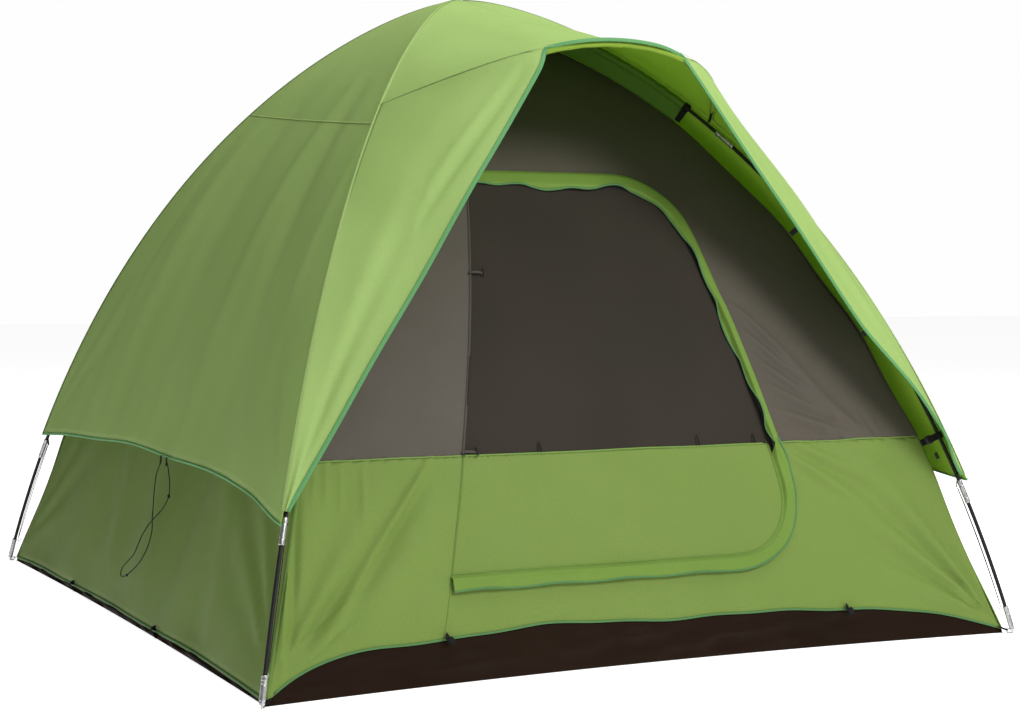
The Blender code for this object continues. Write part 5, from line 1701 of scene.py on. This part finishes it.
# %% Foot rings and floor webbing
for name, (foot, up, inward) in feet.items():
    ring_middle = foot + up * 0.008 + inward * 0.010
    side = unit(np.cross(up, inward))
    turn = np.linspace(0, 2 * np.pi, 60)[:, None]
    ring = ring_middle + 0.0095 * (np.cos(turn) * inward + np.sin(turn) * unit(up + 0.4 * inward))
    ring[:, 2] = np.maximum(ring[:, 2], 0.0016)
    rod(f"foot_ring_{name}", ring[:-1], 0.0012, steel, side, 10, slot="steel")
    strap = np.stack([foot + inward * 0.012 + up * 0.010, foot + inward * 0.024 + np.array([0, 0, 0.012]),
                      foot + inward * 0.052 + np.array([0, 0, 0.022])])
    put_tape(f"floor_webbing_{name}", even_walk(smooth_route(strap), 30), (0, 0, 1), 0.022, 0.0020,
             black_webbing, slot="black_plastic")
print("feet fittings")

# %% [markdown]
# ## Small things on the walls
# Two toggles sit on the hinge seam to hold the rolled door, small loops hang under the net, and webbing
# loops for ground pegs stick out from the hem.

# %% Toggles, net loops and peg loops
TOGGLE_HEIGHTS = (1.039, 0.572)
for k, height in enumerate(TOGGLE_HEIGHTS):
    spot = np.array([float(hinge_x(height))]), np.array([height])
    place = wall_cloth_points("front", *spot, 0.006)[0]
    normal = wall_normals(SIDES["front"], *spot)[0]
    right = unit(np.array([1.0, 0.0, 0.0]) - normal * normal[0])
    upward = np.cross(normal, right)
    band = (place + np.outer(np.linspace(-0.006, 0.038, 30), right)
            + np.outer(0.004 * np.sin(np.linspace(0, np.pi, 30)), normal)
            - np.outer(0.003 * np.linspace(0, 1, 30) ** 2, upward))
    put_tape(f"door_tie_{k + 1}", band, normal, 0.007, 0.0018, seam_grey, slot="black_plastic")
    bar = place + 0.038 * right + np.outer(np.linspace(-0.012, 0.012, 24), upward) + 0.003 * normal
    rod(f"door_toggle_{k + 1}", bar, 0.0028, black_plastic, normal, 14, slot="black_plastic",
        scale=0.55 + 0.45 * np.sin(np.linspace(0.15, np.pi - 0.15, 24)) ** 0.5)
NET_LOOPS = (-0.290, 0.205, 0.389)
for k, u in enumerate(NET_LOOPS):
    t = np.linspace(0, np.pi, 26)
    path = wall_line(np.stack([u + 0.005 * np.cos(t), SEAM_HEIGHT + 0.002 + 0.026 * np.sin(t)], -1), 0.0045,
                     door_points)
    swept = carry(path, unit(np.cross(tangents(path), front_out)), np.tile(unit(front_out), (26, 1)),
                  circle(0.0011, 10))
    tie = put(f"net_loop_{k + 1}", *swept, [zip_coil], None, "black_plastic")
    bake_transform(tie)
PEG_LOOPS = {"front": (-0.626, 0.610), "left": (-0.35, 0.55), "right": (-0.35, 0.55), "back": (-0.45, 0.45)}
for name, places in PEG_LOOPS.items():
    side = SIDES[name]
    for k, u in enumerate(places):
        height = float(rim_height(name, np.array(u / float(half_along(side, 0.11)))))
        spot = np.array([u]), np.array([height])
        place = wall_cloth_points(name, *spot, 0.004)[0]
        normal = wall_normals(side, *spot)[0]
        along = unit(np.cross(normal, [0, 0, 1.0]))
        t = np.linspace(0, 1, 40)
        loop = (place + np.outer(0.0055 * np.sin(2 * np.pi * t), along)
                + np.outer(0.016 * np.sin(np.pi * t), normal)
                + np.outer(0.012 * (1 - 2 * t), [0, 0, 1.0]))
        put_tape(f"peg_loop_{name}_{k + 1}", loop, normal, 0.016, 0.0016, black_webbing, slot="black_plastic")
print("toggles and loops")

# %% The guyline's tab and runner
for k, end in enumerate((GUY_ROUTE[0], GUY_ROUTE[-1])):
    path = end + np.outer(np.linspace(-0.010, 0.016, 14), [0.10, 0, 1.0])
    put_tape(f"hem_tab_{k + 1}", path, (-1, 0, 0.1), 0.013, 0.0018, black_webbing, lift=0.0030)
runner = rounded_block("guyline_runner", GUY_ROUTE[14], np.array([0.2, 0.98, 0]), np.array([0, 0.0, 1.0]),
                       (0.016, 0.008, 0.0075), black_plastic, 0.6)
knot = rounded_block("guyline_knot", GUY_ROUTE[3], np.array([0, 1.0, 0]), np.array([0, 0, 1.0]),
                     (0.009, 0.012, 0.008), grey_cord, 0.9)
